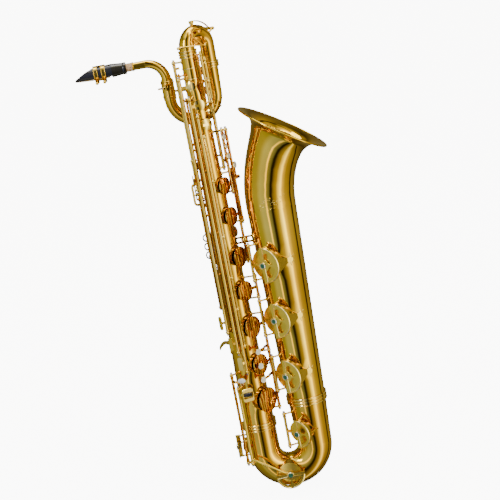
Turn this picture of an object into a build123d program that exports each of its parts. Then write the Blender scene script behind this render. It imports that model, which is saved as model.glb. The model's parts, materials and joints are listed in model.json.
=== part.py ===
"""Baritone saxophone to low A, as its separate pieces, in millimetres.

The drawing frame has the main tube's axis on Z, the bell at +X, the mouthpiece at -X and the player's
right hand at -Y, with heights counted from the bottom of the bow. finish() moves every piece to the
instrument's own frame, whose origin is the middle hole of the strap ring.
"""

import math
import os

from build123d import *

os.makedirs("parts", exist_ok=True)

# ---- Main tubing -------------------------------------------------------------------------------------
WALL = 1.0
BODY_FOOT_Z, BODY_TOP_Z = 165.0, 985.0
BODY_FOOT_R, BODY_TOP_R = 34.0, 16.5
BELL_X = 111.5
BELL_FOOT_Z, BELL_BEND_Z = 205.0, 640.0
BELL_FOOT_R, BELL_BEND_R = 41.0, 52.6
BELL_TILT = 33.0
BELL_BEND_RADIUS = 265.0
FLARE_LENGTH = 18.0
RIM_BEAD_R = 2.0
# the flare's radius falls away from the rim towards the throat's
BELL_THROAT_R, FLARE_REACH, FLARE_SHARPNESS = 51.6, 47.4, 9.9
BELL_SKIN_STEPS = 14
BOW_Z = 108.0
BOW_BEND = BELL_X / 2
BOW_R_BODY, BOW_R_FOOT, BOW_R_BELL = 34.5, 36.5, 37.5
RING_T = 1.6

# ---- Upper loop --------------------------------------------------------------------------------------
LOOP_X, LOOP_Y = 41.5, 39.0
RECEIVER_X = -54.5
LOOP_BEND_Z = 892.0
LOOP_RING_ANGLE = 30.0
TOP_BOW_Z = 995.0
LOOP_SPLIT_Z = 952.0
LOOP_R_TOP, LOOP_R_SPLIT, LOOP_R_BEND, LOOP_R_END = 16.2, 15.0, 13.0, 12.2
RECEIVER_FOOT_Z, RECEIVER_TOP_Z = 900.0, 931.0
RECEIVER_BORE, RECEIVER_R = 11.2, 13.4
SCREW_Y, SCREW_Z = LOOP_Y - 19, RECEIVER_TOP_Z - 9

# ---- Neck and mouthpiece -----------------------------------------------------------------------------
NECK_AXIS_Z = 976.0
NECK_BEND_R = 39.0
NECK_R_FOOT, NECK_R_END = 10.4, 7.6
TENON_R = 11.12
NECK_END_X = -152.0
CORK_START_X = -119.0
CORK_R = 8.95
MOUTHPIECE_BACK_X, MOUTHPIECE_TIP_X = -132.0, -241.0
MOUTHPIECE_BORE_R = 9.0

# ---- Key work ----------------------------------------------------------------------------------------
TUBE_R, TUBE_BORE, ROD_R = 3.2, 2.0, 1.9
BALL_R = 4.6
POST_GAP = 4.2
PAD_GAP = 0.3
CUP_WALL = 1.1
PAD_H = 3.4
ARM_T, ARM_W = 2.6, 6.0
HOLE_RISE = 3.0

# ---- Strap ring: three round holes in one plate behind the main tube ------------------------------------
STRAP_X, STRAP_Z = -35.0, 578.0
STRAP_PITCH, STRAP_HOLE_R, STRAP_OUT_R, STRAP_T = 19.0, 6.0, 8.8, 3.4
ORIGIN = (STRAP_X, 0.0, STRAP_Z)

written = []


def finish(label, *shapes):
    """Moves a node's pieces to the instrument's own frame, labels them and writes their STEP file."""
    solids = [s for shape in shapes for s in shape.solids()]
    node = Compound(solids).moved(Location((-ORIGIN[0], -ORIGIN[1], -ORIGIN[2])))
    node.label = label
    export_step(node, f"parts/{label}.step")
    written.append(label)


def body_r(z):
    """Outside radius of the main tube at height z."""
    share = (z - BODY_FOOT_Z) / (BODY_TOP_Z - BODY_FOOT_Z)
    return BODY_FOOT_R + share * (BODY_TOP_R - BODY_FOOT_R)


def bell_r(z):
    """Outside radius of the bell's straight part at height z."""
    share = (z - BELL_FOOT_Z) / (BELL_BEND_Z - BELL_FOOT_Z)
    return BELL_FOOT_R + share * (BELL_BEND_R - BELL_FOOT_R)


def outward(azimuth):
    """Unit vector at an azimuth: 0 looks to -Y, 90 to +X."""
    a = math.radians(azimuth)
    return Vector(math.sin(a), -math.cos(a), 0)


def sideways(azimuth):
    """Unit vector a quarter turn on from outward()."""
    a = math.radians(azimuth)
    return Vector(math.cos(a), math.sin(a), 0)


def face_plane(centre_x, azimuth, z, distance):
    """Plane that faces outward from a vertical tube: local x is sideways, local y is up."""
    origin = Vector(centre_x, 0, z) + outward(azimuth) * distance
    return Plane(origin=origin, x_dir=sideways(azimuth), z_dir=outward(azimuth))


def plan_plane(centre_x, azimuth, z):
    """Level plane at height z: local x is sideways, local y is the distance out from the tube's axis."""
    return Plane(origin=(centre_x, 0, z), x_dir=sideways(azimuth), z_dir=(0, 0, -1))


def level(x, y, z):
    """Level plane with its origin at a point, facing up."""
    return Plane(origin=(x, y, z), x_dir=(1, 0, 0), z_dir=(0, 0, 1))


# ======================================================================================================
# Keys: where each one's tone hole and hinge are. Every key here turns about a vertical hinge.
#   cx      axis of the tube that the tone hole is on        az, z   where the hole looks and its height
#   r       radius of the pad                                hinge   plan position of the hinge
#   tube    lowest and highest point of the hinge tube       swing   degrees from rest to its other stop
#   opens   True if the key stands open at rest
# ======================================================================================================
KEYS = {
    "low_a_key": dict(
        cx=BELL_X, az=-35, z=529.0, r=33.0, s=-41.0, h=52.0,
        tube=(495, 563), swing=9, opens=True,
    ),
    "low_bflat_key": dict(
        cx=BELL_X, az=-35, z=405.5, r=33.0, s=-41.0, h=50.0,
        tube=(371, 440), swing=9, opens=True,
    ),
    "low_b_key": dict(
        cx=BELL_X, az=-35, z=278.6, r=31.5, s=-38.0, h=47.0,
        tube=(245, 312), swing=9, opens=True,
    ),
    "low_csharp_key": dict(
        cx=BELL_X, az=-35, z=146.0, r=26.0, s=-36.0, h=45.0,
        tube=(115, 180), swing=9, opens=False,
    ),
    "d_key": dict(cx=0, az=40, z=229.3, r=27.5, s=34.0, h=37.0, tube=(205, 297), swing=9, opens=True),
    "e_key": dict(cx=0, az=40, z=310.5, r=22.5, s=34.0, h=37.0, tube=(305.5, 327), swing=9, opens=True),
    "f_key": dict(cx=0, az=40, z=394.4, r=24.0, s=34.0, h=37.0, tube=(335.5, 412), swing=9, opens=True),
    "f_sharp_key": dict(
        cx=0, az=40, z=474.7, r=22.0, s=34.0, h=37.0,
        tube=(455, 494), swing=9, opens=True,
    ),
    "g_key": dict(
        cx=0, az=48, z=549.0, r=21.5, hinge=(41.9, 10.7),
        tube=(535, 722), swing=8, opens=True,
    ),
    "a_key": dict(
        cx=0, az=48, z=637.8, r=20.0, hinge=(46.5, 3.9),
        tube=(624, 812), swing=8, opens=True,
    ),
    "b_key": dict(
        cx=0, az=48, z=703.7, r=18.5, hinge=(38.2, 0.6),
        tube=(690, 812), swing=8, opens=True,
    ),
    "side_bflat_key": dict(
        cx=0, az=25, z=838.0, r=12.0, hinge=(-4.5, -36.0),
        tube=(305, 854), swing=9, opens=False,
    ),
    "side_c_key": dict(
        cx=0, az=8, z=880.0, r=11.5, hinge=(-15.0, -33.0),
        tube=(350, 892), swing=9, opens=False,
    ),
    "high_e_key": dict(
        cx=0, az=-18, z=920.5, r=11.0, hinge=(-29.0, -24.0),
        tube=(395, 934), swing=9, opens=False,
    ),
    "palm_d_key": dict(
        cx=0, az=70, z=862.0, r=10.5, hinge=(29.0, 9.0),
        tube=(742, 874), swing=10, opens=False,
    ),
    "palm_eflat_key": dict(
        cx=0, az=85, z=905.0, r=10.0, hinge=(27.8, 18.4),
        tube=(767, 917), swing=10, opens=False,
    ),
    "palm_f_key": dict(
        cx=0, az=100, z=945.0, r=8.6, hinge=(16.0, 19.5),
        tube=(799, 957), swing=10, opens=False,
    ),
    "g_sharp_key": dict(
        cx=0, az=135, z=596.0, r=14.0, s=21.0, h=31.0,
        tube=(556, 612), swing=8, opens=False,
    ),
    "low_eflat_key": dict(
        cx=0, az=-90, z=124.0, r=20.0, s=28.0, h=39.0,
        tube=(98, 292), swing=8, opens=False,
    ),
}
# Levers without a tone hole of their own; each passes its motion on to the key named in the record.
LEVERS = {
    "table_csharp_lever": dict(cx=0, az=145, hinge=(24.0, 34.0), tube=(190, 553), swing=8),
    "table_b_lever": dict(cx=0, az=160, hinge=(14.0, 39.5), tube=(320, 530), swing=8),
    "table_bflat_lever": dict(cx=0, az=174, hinge=(4.0, 41.5), tube=(425, 507), swing=8),
    "low_a_thumb_lever": dict(cx=0, az=-110, hinge=(-33.0, -13.0), tube=(708, 762), swing=8),
    "octave_thumb_lever": dict(cx=0, az=-76, hinge=(-33.0, 8.0), tube=(672, 966), swing=8),
}
# Low C is on the bottom of the bow, so its hole is placed by hand.
C_X = 46.0
LOW_C = dict(
    cx=C_X, az=0, z=60.0, r=25.0, rim=39.5, hinge=(-30.0, -36.0),
    tube=(98, 262), swing=4.6, opens=True,
)


def complete(key):
    """Works out what a key's entry leaves out: its rim distance, and s, h or the hinge from the other."""
    n, t = outward(key["az"]), sideways(key["az"])
    if "hinge" not in key:
        point = Vector(key["cx"], 0, 0) + n * key["h"] + t * key["s"]
        key["hinge"] = (point.X, point.Y)
    offset = Vector(key["hinge"][0] - key["cx"], key["hinge"][1], 0)
    key["h"], key["s"] = offset.dot(n), offset.dot(t)
    if "z" in key and "rim" not in key:
        if key["cx"] == 0:
            radius = body_r(max(key["z"], BODY_FOOT_Z))
        else:
            radius = bell_r(max(key["z"], BELL_FOOT_Z))
        key["rim"] = radius + HOLE_RISE
    return key


for entry in (*KEYS.values(), *LEVERS.values(), LOW_C):
    complete(entry)


# ======================================================================================================
# Shared shapes
# ======================================================================================================
def disc(plane, radius):
    """A round face on a plane."""
    with BuildSketch(plane) as outline:
        Circle(radius)
    return outline.sketch


def leg(x, y, z_low, r_low, z_high, r_high, inset=0, mode=Mode.ADD):
    """A straight bar or tube on a vertical axis, which may taper."""
    loft([disc(level(x, y, z_low), r_low - inset), disc(level(x, y, z_high), r_high - inset)], mode=mode)


def bar(start, end, radius, mode=Mode.ADD):
    """A round bar from one point to another."""
    along = Vector(*end) - Vector(*start)
    extrude(disc(Plane(origin=start, z_dir=along), radius), amount=along.length, mode=mode)


def capsule(plane, start, end, r_start, r_end):
    """A flat bar with round ends between two points of a plane."""
    with BuildSketch(plane) as outline:
        with Locations(start):
            Circle(r_start)
        with Locations(end):
            Circle(r_end)
        make_hull()
    return outline.sketch


def plan_arm(z, points, width, thick=ARM_T):
    """A level strip through plan points at height z, as wide up and down as width."""
    for start, end in zip(points, points[1:]):
        extrude(capsule(level(0, 0, z), start, end, thick / 2, thick / 2), amount=width / 2, both=True)


def turned(shape, hinge, degrees):
    """A shape turned about a vertical hinge."""
    return shape.rotate(Axis((hinge[0], hinge[1], 0), (0, 0, 1)), degrees)


# ======================================================================================================
# Main tubing. Each tube has a filled twin, which cuts the pieces that stand on it.
# ======================================================================================================
def chimney(key, margin, mode):
    """The short collar that stands round a tone hole, or its bore."""
    start = 4.0
    outline = disc(face_plane(key["cx"], key["az"], key["z"], start), key["r"] - margin)
    extrude(outline, amount=key["rim"] - start, mode=mode)


COLLAR_MARGIN, BORE_MARGIN = 2.2, 3.6
on_body = [k for k in KEYS.values() if k["cx"] == 0 and k["z"] > BODY_FOOT_Z]
on_bell = [k for k in KEYS.values() if k["cx"] == BELL_X and k["z"] > BELL_FOOT_Z]
on_bow = [KEYS["low_csharp_key"], KEYS["low_eflat_key"], LOW_C]

with BuildPart() as body_filled:
    leg(0, 0, BODY_FOOT_Z, BODY_FOOT_R, BODY_TOP_Z, BODY_TOP_R)
    for hole in on_body:
        chimney(hole, COLLAR_MARGIN, Mode.ADD)

with BuildPart() as body_tube:
    add(body_filled.part)
    leg(0, 0, BODY_FOOT_Z, BODY_FOOT_R, BODY_TOP_Z, BODY_TOP_R, WALL, Mode.SUBTRACT)
    for hole in on_body:
        chimney(hole, BORE_MARGIN, Mode.SUBTRACT)
finish("body_tube", body_tube.part)

TILT = math.radians(BELL_TILT)
BELL_ARC = TILT * BELL_BEND_RADIUS
RIM_X = BELL_X + BELL_BEND_RADIUS * (1 - math.cos(TILT)) + FLARE_LENGTH * math.sin(TILT)
RIM_Z = BELL_BEND_Z + BELL_BEND_RADIUS * math.sin(TILT) + FLARE_LENGTH * math.cos(TILT)
RIM_AXIS = Axis((RIM_X, 0, RIM_Z), (math.sin(TILT), 0, math.cos(TILT)))


def flare_r(back):
    """Outside radius of the bell, a distance back from its rim."""
    return BELL_THROAT_R + FLARE_REACH * (FLARE_SHARPNESS / (back + FLARE_SHARPNESS)) ** 1.3


def flare_slope(back):
    """How steeply the flare widens there, in radians."""
    return math.atan2(flare_r(back) - flare_r(back + 0.1), 0.1)


def bell_plane(turn):
    """The plane across the bell's bend after a turn of so many radians."""
    x = BELL_X + BELL_BEND_RADIUS * (1 - math.cos(turn))
    z = BELL_BEND_Z + BELL_BEND_RADIUS * math.sin(turn)
    return Plane(origin=(x, 0, z), x_dir=(0, 1, 0), z_dir=(math.sin(turn), 0, math.cos(turn)))


def bell_bend(inset, mode):
    """The bell's bend below the flare, through circles."""
    circles = []
    for step in range(BELL_SKIN_STEPS + 1):
        share = step / BELL_SKIN_STEPS
        radius = flare_r(FLARE_LENGTH + BELL_ARC * share)
        circles.append(disc(bell_plane(TILT * (1 - share)), radius - inset))
    loft(circles, ruled=True, mode=mode)


def bell_flare():
    """The flare and its rolled rim, turned about the bell's leaning axis."""
    radial = Plane(origin=RIM_AXIS.position, x_dir=(0, 1, 0), z_dir=(math.cos(TILT), 0, -math.sin(TILT)))
    stations = (0.0, 1.5, 4.0, 8.0, 13.0, FLARE_LENGTH)
    outer = [(flare_r(back), -back) for back in stations]
    inner = []
    for back in stations:
        slope = flare_slope(back)
        inner.append((flare_r(back) - WALL * math.cos(slope), -back + WALL * math.sin(slope)))
    inner[-1] = (flare_r(FLARE_LENGTH) - WALL, -FLARE_LENGTH)
    with BuildSketch(radial) as profile:
        with BuildLine():
            Spline(*outer)
            Spline(*inner)
            Line(outer[0], inner[0])
            Line(outer[-1], inner[-1])
        make_face()
        with Locations((flare_r(0), 0)):
            Circle(RIM_BEAD_R)
    revolve(profile.sketch, axis=RIM_AXIS)


with BuildPart() as bell_filled:
    bell_bend(0, Mode.ADD)
    leg(BELL_X, 0, BELL_FOOT_Z, BELL_FOOT_R, BELL_BEND_Z, BELL_BEND_R)
    for hole in on_bell:
        chimney(hole, COLLAR_MARGIN, Mode.ADD)

with BuildPart() as bell:
    add(bell_filled.part)
    bell_bend(WALL, Mode.SUBTRACT)
    leg(BELL_X, 0, BELL_FOOT_Z, BELL_FOOT_R, BELL_BEND_Z, BELL_BEND_R, WALL, Mode.SUBTRACT)
    for hole in on_bell:
        chimney(hole, BORE_MARGIN, Mode.SUBTRACT)
    bell_flare()
finish("bell", bell.part)


def bend_plane(centre, radius, angle, lean=0.0):
    """Plane across a round bend; angle runs from +X, and lean turns the bend about the vertical."""
    a, b = math.radians(angle), math.radians(lean)
    reach = radius * math.cos(a)
    x, y = centre[0] + reach * math.cos(b), centre[1] + reach * math.sin(b)
    origin = (x, y, centre[2] + radius * math.sin(a))
    along = (-math.sin(a) * math.cos(b), -math.sin(a) * math.sin(b), math.cos(a))
    return Plane(origin=origin, x_dir=(-math.sin(b), math.cos(b), 0), z_dir=along)


def bend(centre, radius, first, last, r_first, r_last, inset, mode, lean=0.0):
    """A bent tube, lofted through circles between two angles."""
    count = max(2, round(abs(last - first) / 22.5))
    circles = []
    for step in range(count + 1):
        share = step / count
        plane = bend_plane(centre, radius, first + share * (last - first), lean)
        circles.append(disc(plane, r_first + share * (r_last - r_first) - inset))
    loft(circles, mode=mode)


BOW_CENTRE = (BOW_BEND, 0, BOW_Z)


def bow_skin(inset, mode):
    """Bottom bow: a leg, the half circle under it and the bell's leg."""
    leg(0, 0, BOW_Z, BOW_R_BODY, BODY_FOOT_Z, BODY_FOOT_R, inset, mode)
    bend(BOW_CENTRE, BOW_BEND, 180, 270, BOW_R_BODY, BOW_R_FOOT, inset, mode)
    bend(BOW_CENTRE, BOW_BEND, 270, 360, BOW_R_FOOT, BOW_R_BELL, inset, mode)
    leg(BELL_X, 0, BOW_Z, BOW_R_BELL, BELL_FOOT_Z, BELL_FOOT_R, inset, mode)


with BuildPart() as bow_filled:
    bow_skin(0, Mode.ADD)
    for hole in on_bow:
        chimney(hole, COLLAR_MARGIN, Mode.ADD)

with BuildPart() as bottom_bow:
    add(bow_filled.part)
    bow_skin(WALL, Mode.SUBTRACT)
    for hole in on_bow:
        chimney(hole, BORE_MARGIN, Mode.SUBTRACT)
finish("bottom_bow", bottom_bow.part)

# ---- Upper bow and the loop down to the neck's receiver ----------------------------------------------
TOP_SPAN = math.hypot(LOOP_X, LOOP_Y)
TOP_LEAN = math.degrees(math.atan2(LOOP_Y, LOOP_X))
TOP_CENTRE = (LOOP_X / 2, LOOP_Y / 2, TOP_BOW_Z)
LOOP_BEND = (LOOP_X - RECEIVER_X) / 2
LOOP_CENTRE = ((LOOP_X + RECEIVER_X) / 2, LOOP_Y, LOOP_BEND_Z)


def upper_bow_skin(inset, mode):
    """The bow on top of the main tube."""
    leg(0, 0, BODY_TOP_Z, BODY_TOP_R, TOP_BOW_Z, LOOP_R_TOP, inset, mode)
    bend(TOP_CENTRE, TOP_SPAN / 2, 180, 0, LOOP_R_TOP, LOOP_R_TOP - 0.6, inset, mode, TOP_LEAN)
    leg(LOOP_X, LOOP_Y, LOOP_SPLIT_Z, LOOP_R_SPLIT, TOP_BOW_Z, LOOP_R_TOP - 0.6, inset, mode)


def loop_skin(inset, mode):
    """The tube that hangs from the upper bow and turns up again behind the main tube."""
    leg(LOOP_X, LOOP_Y, LOOP_BEND_Z, LOOP_R_BEND, LOOP_SPLIT_Z, LOOP_R_SPLIT, inset, mode)
    bend(LOOP_CENTRE, LOOP_BEND, 0, -180, LOOP_R_BEND, LOOP_R_END, inset, mode)
    leg(RECEIVER_X, LOOP_Y, LOOP_BEND_Z, LOOP_R_END, RECEIVER_FOOT_Z, LOOP_R_END, inset, mode)


PIP_ANGLE, PIP_R, PIP_BORE = 94.0, 4.0, 1.6
PIP_TOP = TOP_SPAN / 2 + LOOP_R_TOP + 2.4


def bow_point(radius, angle, across):
    """A point beside the upper bow: distance and angle from its bend's centre, and distance across."""
    a, b = math.radians(angle), math.radians(TOP_LEAN)
    reach = radius * math.cos(a)
    x = TOP_CENTRE[0] + reach * math.cos(b) - across * math.sin(b)
    y = TOP_CENTRE[1] + reach * math.sin(b) + across * math.cos(b)
    return (x, y, TOP_CENTRE[2] + radius * math.sin(a))


with BuildPart() as upper_bow_filled:
    upper_bow_skin(0, Mode.ADD)
    bar(bow_point(TOP_SPAN / 2, PIP_ANGLE, 0), bow_point(PIP_TOP, PIP_ANGLE, 0), PIP_R)
with BuildPart() as upper_bow:
    add(upper_bow_filled.part)
    upper_bow_skin(WALL, Mode.SUBTRACT)
    bar(bow_point(TOP_SPAN / 2, PIP_ANGLE, 0), bow_point(PIP_TOP + 1, PIP_ANGLE, 0), PIP_BORE, Mode.SUBTRACT)
finish("upper_bow", upper_bow.part)

with BuildPart() as loop_filled:
    loop_skin(0, Mode.ADD)
with BuildPart() as loop_tube:
    add(loop_filled.part)
    loop_skin(WALL, Mode.SUBTRACT)
finish("loop_tube", loop_tube.part)

# ---- Ferrules: rings over the joints of the tubes ------------------------------------------------------
RING_BEAD_R, RING_BEAD_IN = 1.1, 3.0


def joint_ring(x, y, z, radius, height, *tubes):
    """A ring with a bead near each edge, cut to the tubes that it covers."""
    with BuildPart() as ring:
        leg(x, y, z - height / 2, radius, z + height / 2, radius)
        for edge in (-1, 1):
            with Locations((x, y, z + edge * (height / 2 - RING_BEAD_IN))):
                Torus(radius, RING_BEAD_R)
        for tube in tubes:
            add(tube.part, mode=Mode.SUBTRACT)
    return ring.part


body_ring = joint_ring(0, 0, BODY_FOOT_Z + 4, BODY_FOOT_R + RING_T, 18.0, body_filled, bow_filled)
bell_ring = joint_ring(BELL_X, 0, BELL_FOOT_Z + 5, BELL_FOOT_R + RING_T, 18.0, bell_filled, bow_filled)
finish("body_ferrule", body_ring)
finish("bell_ferrule", bell_ring)
top_ring = joint_ring(0, 0, BODY_TOP_Z, BODY_TOP_R + RING_T, 14.0, body_filled, upper_bow_filled)
split_r = LOOP_R_SPLIT + RING_T
split_ring = joint_ring(LOOP_X, LOOP_Y, LOOP_SPLIT_Z, split_r, 12.0, upper_bow_filled, loop_filled)
with BuildPart() as bend_ring:
    with Locations(bend_plane(LOOP_CENTRE, LOOP_BEND, -LOOP_RING_ANGLE)):
        Torus(LOOP_R_BEND + 0.6, 1.5)
    add(loop_filled.part, mode=Mode.SUBTRACT)
finish("upper_ferrules", top_ring, split_ring, bend_ring.part)

with BuildPart() as neck_receiver:
    leg(RECEIVER_X, LOOP_Y, RECEIVER_FOOT_Z - 6, LOOP_R_END + 1.4, RECEIVER_FOOT_Z, RECEIVER_R)
    leg(RECEIVER_X, LOOP_Y, RECEIVER_FOOT_Z, RECEIVER_R, RECEIVER_TOP_Z, RECEIVER_R)
    with Locations((RECEIVER_X, LOOP_Y, RECEIVER_TOP_Z - 1.5), (RECEIVER_X, LOOP_Y, RECEIVER_FOOT_Z + 1.5)):
        Torus(RECEIVER_R, 1.3)
    with BuildSketch(level(RECEIVER_X, LOOP_Y - 16.5, RECEIVER_TOP_Z - 15)) as ears:
        RectangleRounded(11.0, 13.0, 2.0)
    extrude(ears.sketch, amount=12.0)
    with BuildSketch(level(RECEIVER_X, LOOP_Y - 14.0, RECEIVER_TOP_Z - 19)) as slit:
        Rectangle(2.0, 20.0)
    extrude(slit.sketch, amount=20.0, mode=Mode.SUBTRACT)
    bore_top = RECEIVER_TOP_Z + 2
    leg(RECEIVER_X, LOOP_Y, RECEIVER_FOOT_Z, RECEIVER_BORE, bore_top, RECEIVER_BORE, mode=Mode.SUBTRACT)
    add(loop_filled.part, mode=Mode.SUBTRACT)
    bar((RECEIVER_X - 8, SCREW_Y, SCREW_Z), (RECEIVER_X + 8, SCREW_Y, SCREW_Z), 1.6, Mode.SUBTRACT)
finish("neck_receiver", neck_receiver.part)


# ======================================================================================================
# Neck and mouthpiece
# ======================================================================================================
NECK_TURN = (RECEIVER_X - NECK_BEND_R, LOOP_Y, NECK_AXIS_Z - NECK_BEND_R)
TENON_FOOT_Z = RECEIVER_FOOT_Z + 2.0


def along_x(x, y, z):
    """Plane across the neck's level stretch; it looks to -X."""
    return Plane(origin=(x, y, z), x_dir=(0, 1, 0), z_dir=(-1, 0, 0))


def neck_skin(inset, mode):
    """The neck's bend and its level stretch."""
    bend(NECK_TURN, NECK_BEND_R, 0, 90, NECK_R_FOOT, 8.4, inset, mode)
    start = disc(along_x(NECK_TURN[0], LOOP_Y, NECK_AXIS_Z), 8.4 - inset)
    end = disc(along_x(NECK_END_X, LOOP_Y, NECK_AXIS_Z), NECK_R_END - inset)
    loft([start, end], mode=mode)


with BuildPart() as neck_tube:
    neck_skin(0, Mode.ADD)
    leg(RECEIVER_X, LOOP_Y, TENON_FOOT_Z, TENON_R, RECEIVER_TOP_Z + 1, TENON_R)
    leg(RECEIVER_X, LOOP_Y, RECEIVER_TOP_Z + 0.4, 13.2, NECK_TURN[2], 12.4)
    with Locations((RECEIVER_X, LOOP_Y, RECEIVER_TOP_Z + 2.2)):
        Torus(12.9, 1.2)
    with Locations(along_x(CORK_START_X + 1.4, LOOP_Y, NECK_AXIS_Z)):
        Torus(8.6, 1.3)
    neck_skin(WALL, Mode.SUBTRACT)
    leg(RECEIVER_X, LOOP_Y, TENON_FOOT_Z, NECK_R_FOOT, NECK_TURN[2], NECK_R_FOOT, WALL, Mode.SUBTRACT)
finish("neck_tube", neck_tube.part)

with BuildPart() as neck_cork:
    start = disc(along_x(CORK_START_X, LOOP_Y, NECK_AXIS_Z), CORK_R)
    extrude(start, amount=CORK_START_X - NECK_END_X - 1.5)
    add(neck_tube.part, mode=Mode.SUBTRACT)
    neck_skin(WALL / 2, Mode.SUBTRACT)
finish("neck_cork", neck_cork.part)

BEAK_X, TABLE_X, WINDOW_X = -198.0, -163.0, -199.0
TABLE_DROP = 10.2
CHAMBER_R = 6.6


def side_plane(y):
    """Upright plane that looks to -Y; local x is X and local y is Z."""
    return Plane(origin=(0, y, 0), x_dir=(1, 0, 0), z_dir=(0, -1, 0))


with BuildPart() as mouthpiece:
    with BuildSketch(side_plane(LOOP_Y)) as half:
        with BuildLine():
            Polyline(
                (MOUTHPIECE_BACK_X, NECK_AXIS_Z),
                (MOUTHPIECE_BACK_X, NECK_AXIS_Z + 12.4),
                (MOUTHPIECE_BACK_X - 5, NECK_AXIS_Z + 12.8),
                (MOUTHPIECE_BACK_X - 7, NECK_AXIS_Z + 12.1),
                (-162, NECK_AXIS_Z + 14.4),
                (BEAK_X, NECK_AXIS_Z + 13.2),
                (MOUTHPIECE_TIP_X, NECK_AXIS_Z + 11.0),
                (MOUTHPIECE_TIP_X, NECK_AXIS_Z),
                close=True,
            )
        make_face()
    revolve(half.sketch, axis=Axis((0, LOOP_Y, NECK_AXIS_Z), (1, 0, 0)))
    with BuildSketch(side_plane(LOOP_Y)) as below_table:
        Polygon(
            (TABLE_X, NECK_AXIS_Z - TABLE_DROP), (TABLE_X, NECK_AXIS_Z - 30),
            (-260, NECK_AXIS_Z - 30), (-260, NECK_AXIS_Z - TABLE_DROP + 1.2),
            (-215, NECK_AXIS_Z - TABLE_DROP),
            align=None,
        )
    extrude(below_table.sketch, amount=30, both=True, mode=Mode.SUBTRACT)
    with BuildSketch(side_plane(LOOP_Y)) as above_beak:
        Polygon(
            (BEAK_X, NECK_AXIS_Z + 13.3), (BEAK_X - 8, NECK_AXIS_Z + 30),
            (-260, NECK_AXIS_Z + 30), (-260, NECK_AXIS_Z - 12.5), (MOUTHPIECE_TIP_X, NECK_AXIS_Z - 7.0),
            (-222, NECK_AXIS_Z + 3.6), align=None,
        )
    extrude(above_beak.sketch, amount=30, both=True, mode=Mode.SUBTRACT)
    bore = disc(along_x(MOUTHPIECE_BACK_X + 1, LOOP_Y, NECK_AXIS_Z), MOUTHPIECE_BORE_R)
    extrude(bore, amount=37, mode=Mode.SUBTRACT)
    chamber = disc(along_x(MOUTHPIECE_BACK_X - 30, LOOP_Y, NECK_AXIS_Z), CHAMBER_R)
    extrude(chamber, amount=38, mode=Mode.SUBTRACT)
    with BuildSketch(side_plane(LOOP_Y)) as window:
        Polygon(
            (WINDOW_X + 4, NECK_AXIS_Z - 2), (WINDOW_X + 4, NECK_AXIS_Z - 30),
            (MOUTHPIECE_TIP_X + 3, NECK_AXIS_Z - 30), (MOUTHPIECE_TIP_X + 3, NECK_AXIS_Z - TABLE_DROP + 0.8),
            align=None,
        )
    extrude(window.sketch, amount=6.2, both=True, mode=Mode.SUBTRACT)
finish("mouthpiece", mouthpiece.part)

REED_HEEL_X, REED_CUT_X = -168.0, -205.0
with BuildPart() as reed:
    with BuildSketch(side_plane(LOOP_Y)) as profile:
        Polygon(
            (REED_HEEL_X, NECK_AXIS_Z - TABLE_DROP), (REED_HEEL_X, NECK_AXIS_Z - TABLE_DROP - 3.2),
            (REED_CUT_X, NECK_AXIS_Z - TABLE_DROP - 3.2),
            (MOUTHPIECE_TIP_X + 1, NECK_AXIS_Z - TABLE_DROP - 0.3),
            (MOUTHPIECE_TIP_X + 1, NECK_AXIS_Z - TABLE_DROP), align=None,
        )
    extrude(profile.sketch, amount=8.2, both=True)
    round_back = disc(along_x(REED_HEEL_X + 1, LOOP_Y, NECK_AXIS_Z - TABLE_DROP + 7.5), 11.4)
    extrude(round_back, amount=90, mode=Mode.INTERSECT)
finish("reed", reed.part)

BAND_X, BAND_W, BAND_R = (-180.0, -196.0), 9.0, 15.6
with BuildPart() as ligature:
    for x in BAND_X:
        extrude(disc(along_x(x + BAND_W / 2, LOOP_Y, NECK_AXIS_Z), BAND_R), amount=BAND_W)
        for edge in (x - BAND_W / 2 + 0.8, x + BAND_W / 2 - 0.8):
            with Locations(along_x(edge, LOOP_Y, NECK_AXIS_Z)):
                Torus(BAND_R, 0.7)
        with BuildSketch(along_x(x + 4, LOOP_Y, NECK_AXIS_Z)) as lugs:
            with Locations((0, BAND_R + 1.0)):
                RectangleRounded(13.0, 8.0, 1.5)
        extrude(lugs.sketch, amount=8)
    with BuildSketch(level((BAND_X[0] + BAND_X[1]) / 2, LOOP_Y, NECK_AXIS_Z - BAND_R - 0.3)) as link:
        RectangleRounded(18.0, 9.0, 1.0)
    extrude(link.sketch, amount=1.6)
    with BuildSketch(level((BAND_X[0] + BAND_X[1]) / 2, LOOP_Y, NECK_AXIS_Z + 13.6)) as link_top:
        RectangleRounded(18.0, 9.0, 1.0)
    extrude(link_top.sketch, amount=1.8)
    add(mouthpiece.part, mode=Mode.SUBTRACT)
    add(reed.part, mode=Mode.SUBTRACT)
    inside = disc(along_x(BAND_X[0] + 10, LOOP_Y, NECK_AXIS_Z), BAND_R - 1.3)
    extrude(inside, amount=36, mode=Mode.SUBTRACT)
    with BuildSketch(along_x(BAND_X[0] + 10, LOOP_Y, NECK_AXIS_Z)) as gap:
        with Locations((0, BAND_R + 2)):
            Rectangle(3.0, 12.0)
    extrude(gap.sketch, amount=36, mode=Mode.SUBTRACT)
    for x in BAND_X:
        z = NECK_AXIS_Z - BAND_R - 2.6
        bar((x, LOOP_Y - 12, z), (x, LOOP_Y + 12, z), 1.5, Mode.SUBTRACT)
finish("ligature", ligature.part)

LIG_SCREW_Z = NECK_AXIS_Z - BAND_R - 2.6
with BuildPart() as ligature_screws:
    for x in BAND_X:
        bar((x, LOOP_Y - 13, LIG_SCREW_Z), (x, LOOP_Y + 9, LIG_SCREW_Z), 1.45)
        bar((x, LOOP_Y - 19, LIG_SCREW_Z), (x, LOOP_Y - 13, LIG_SCREW_Z), 3.6)
        with Locations((x, LOOP_Y - 19, LIG_SCREW_Z)):
            Sphere(3.6)
finish("ligature_screws", ligature_screws.part)


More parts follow.
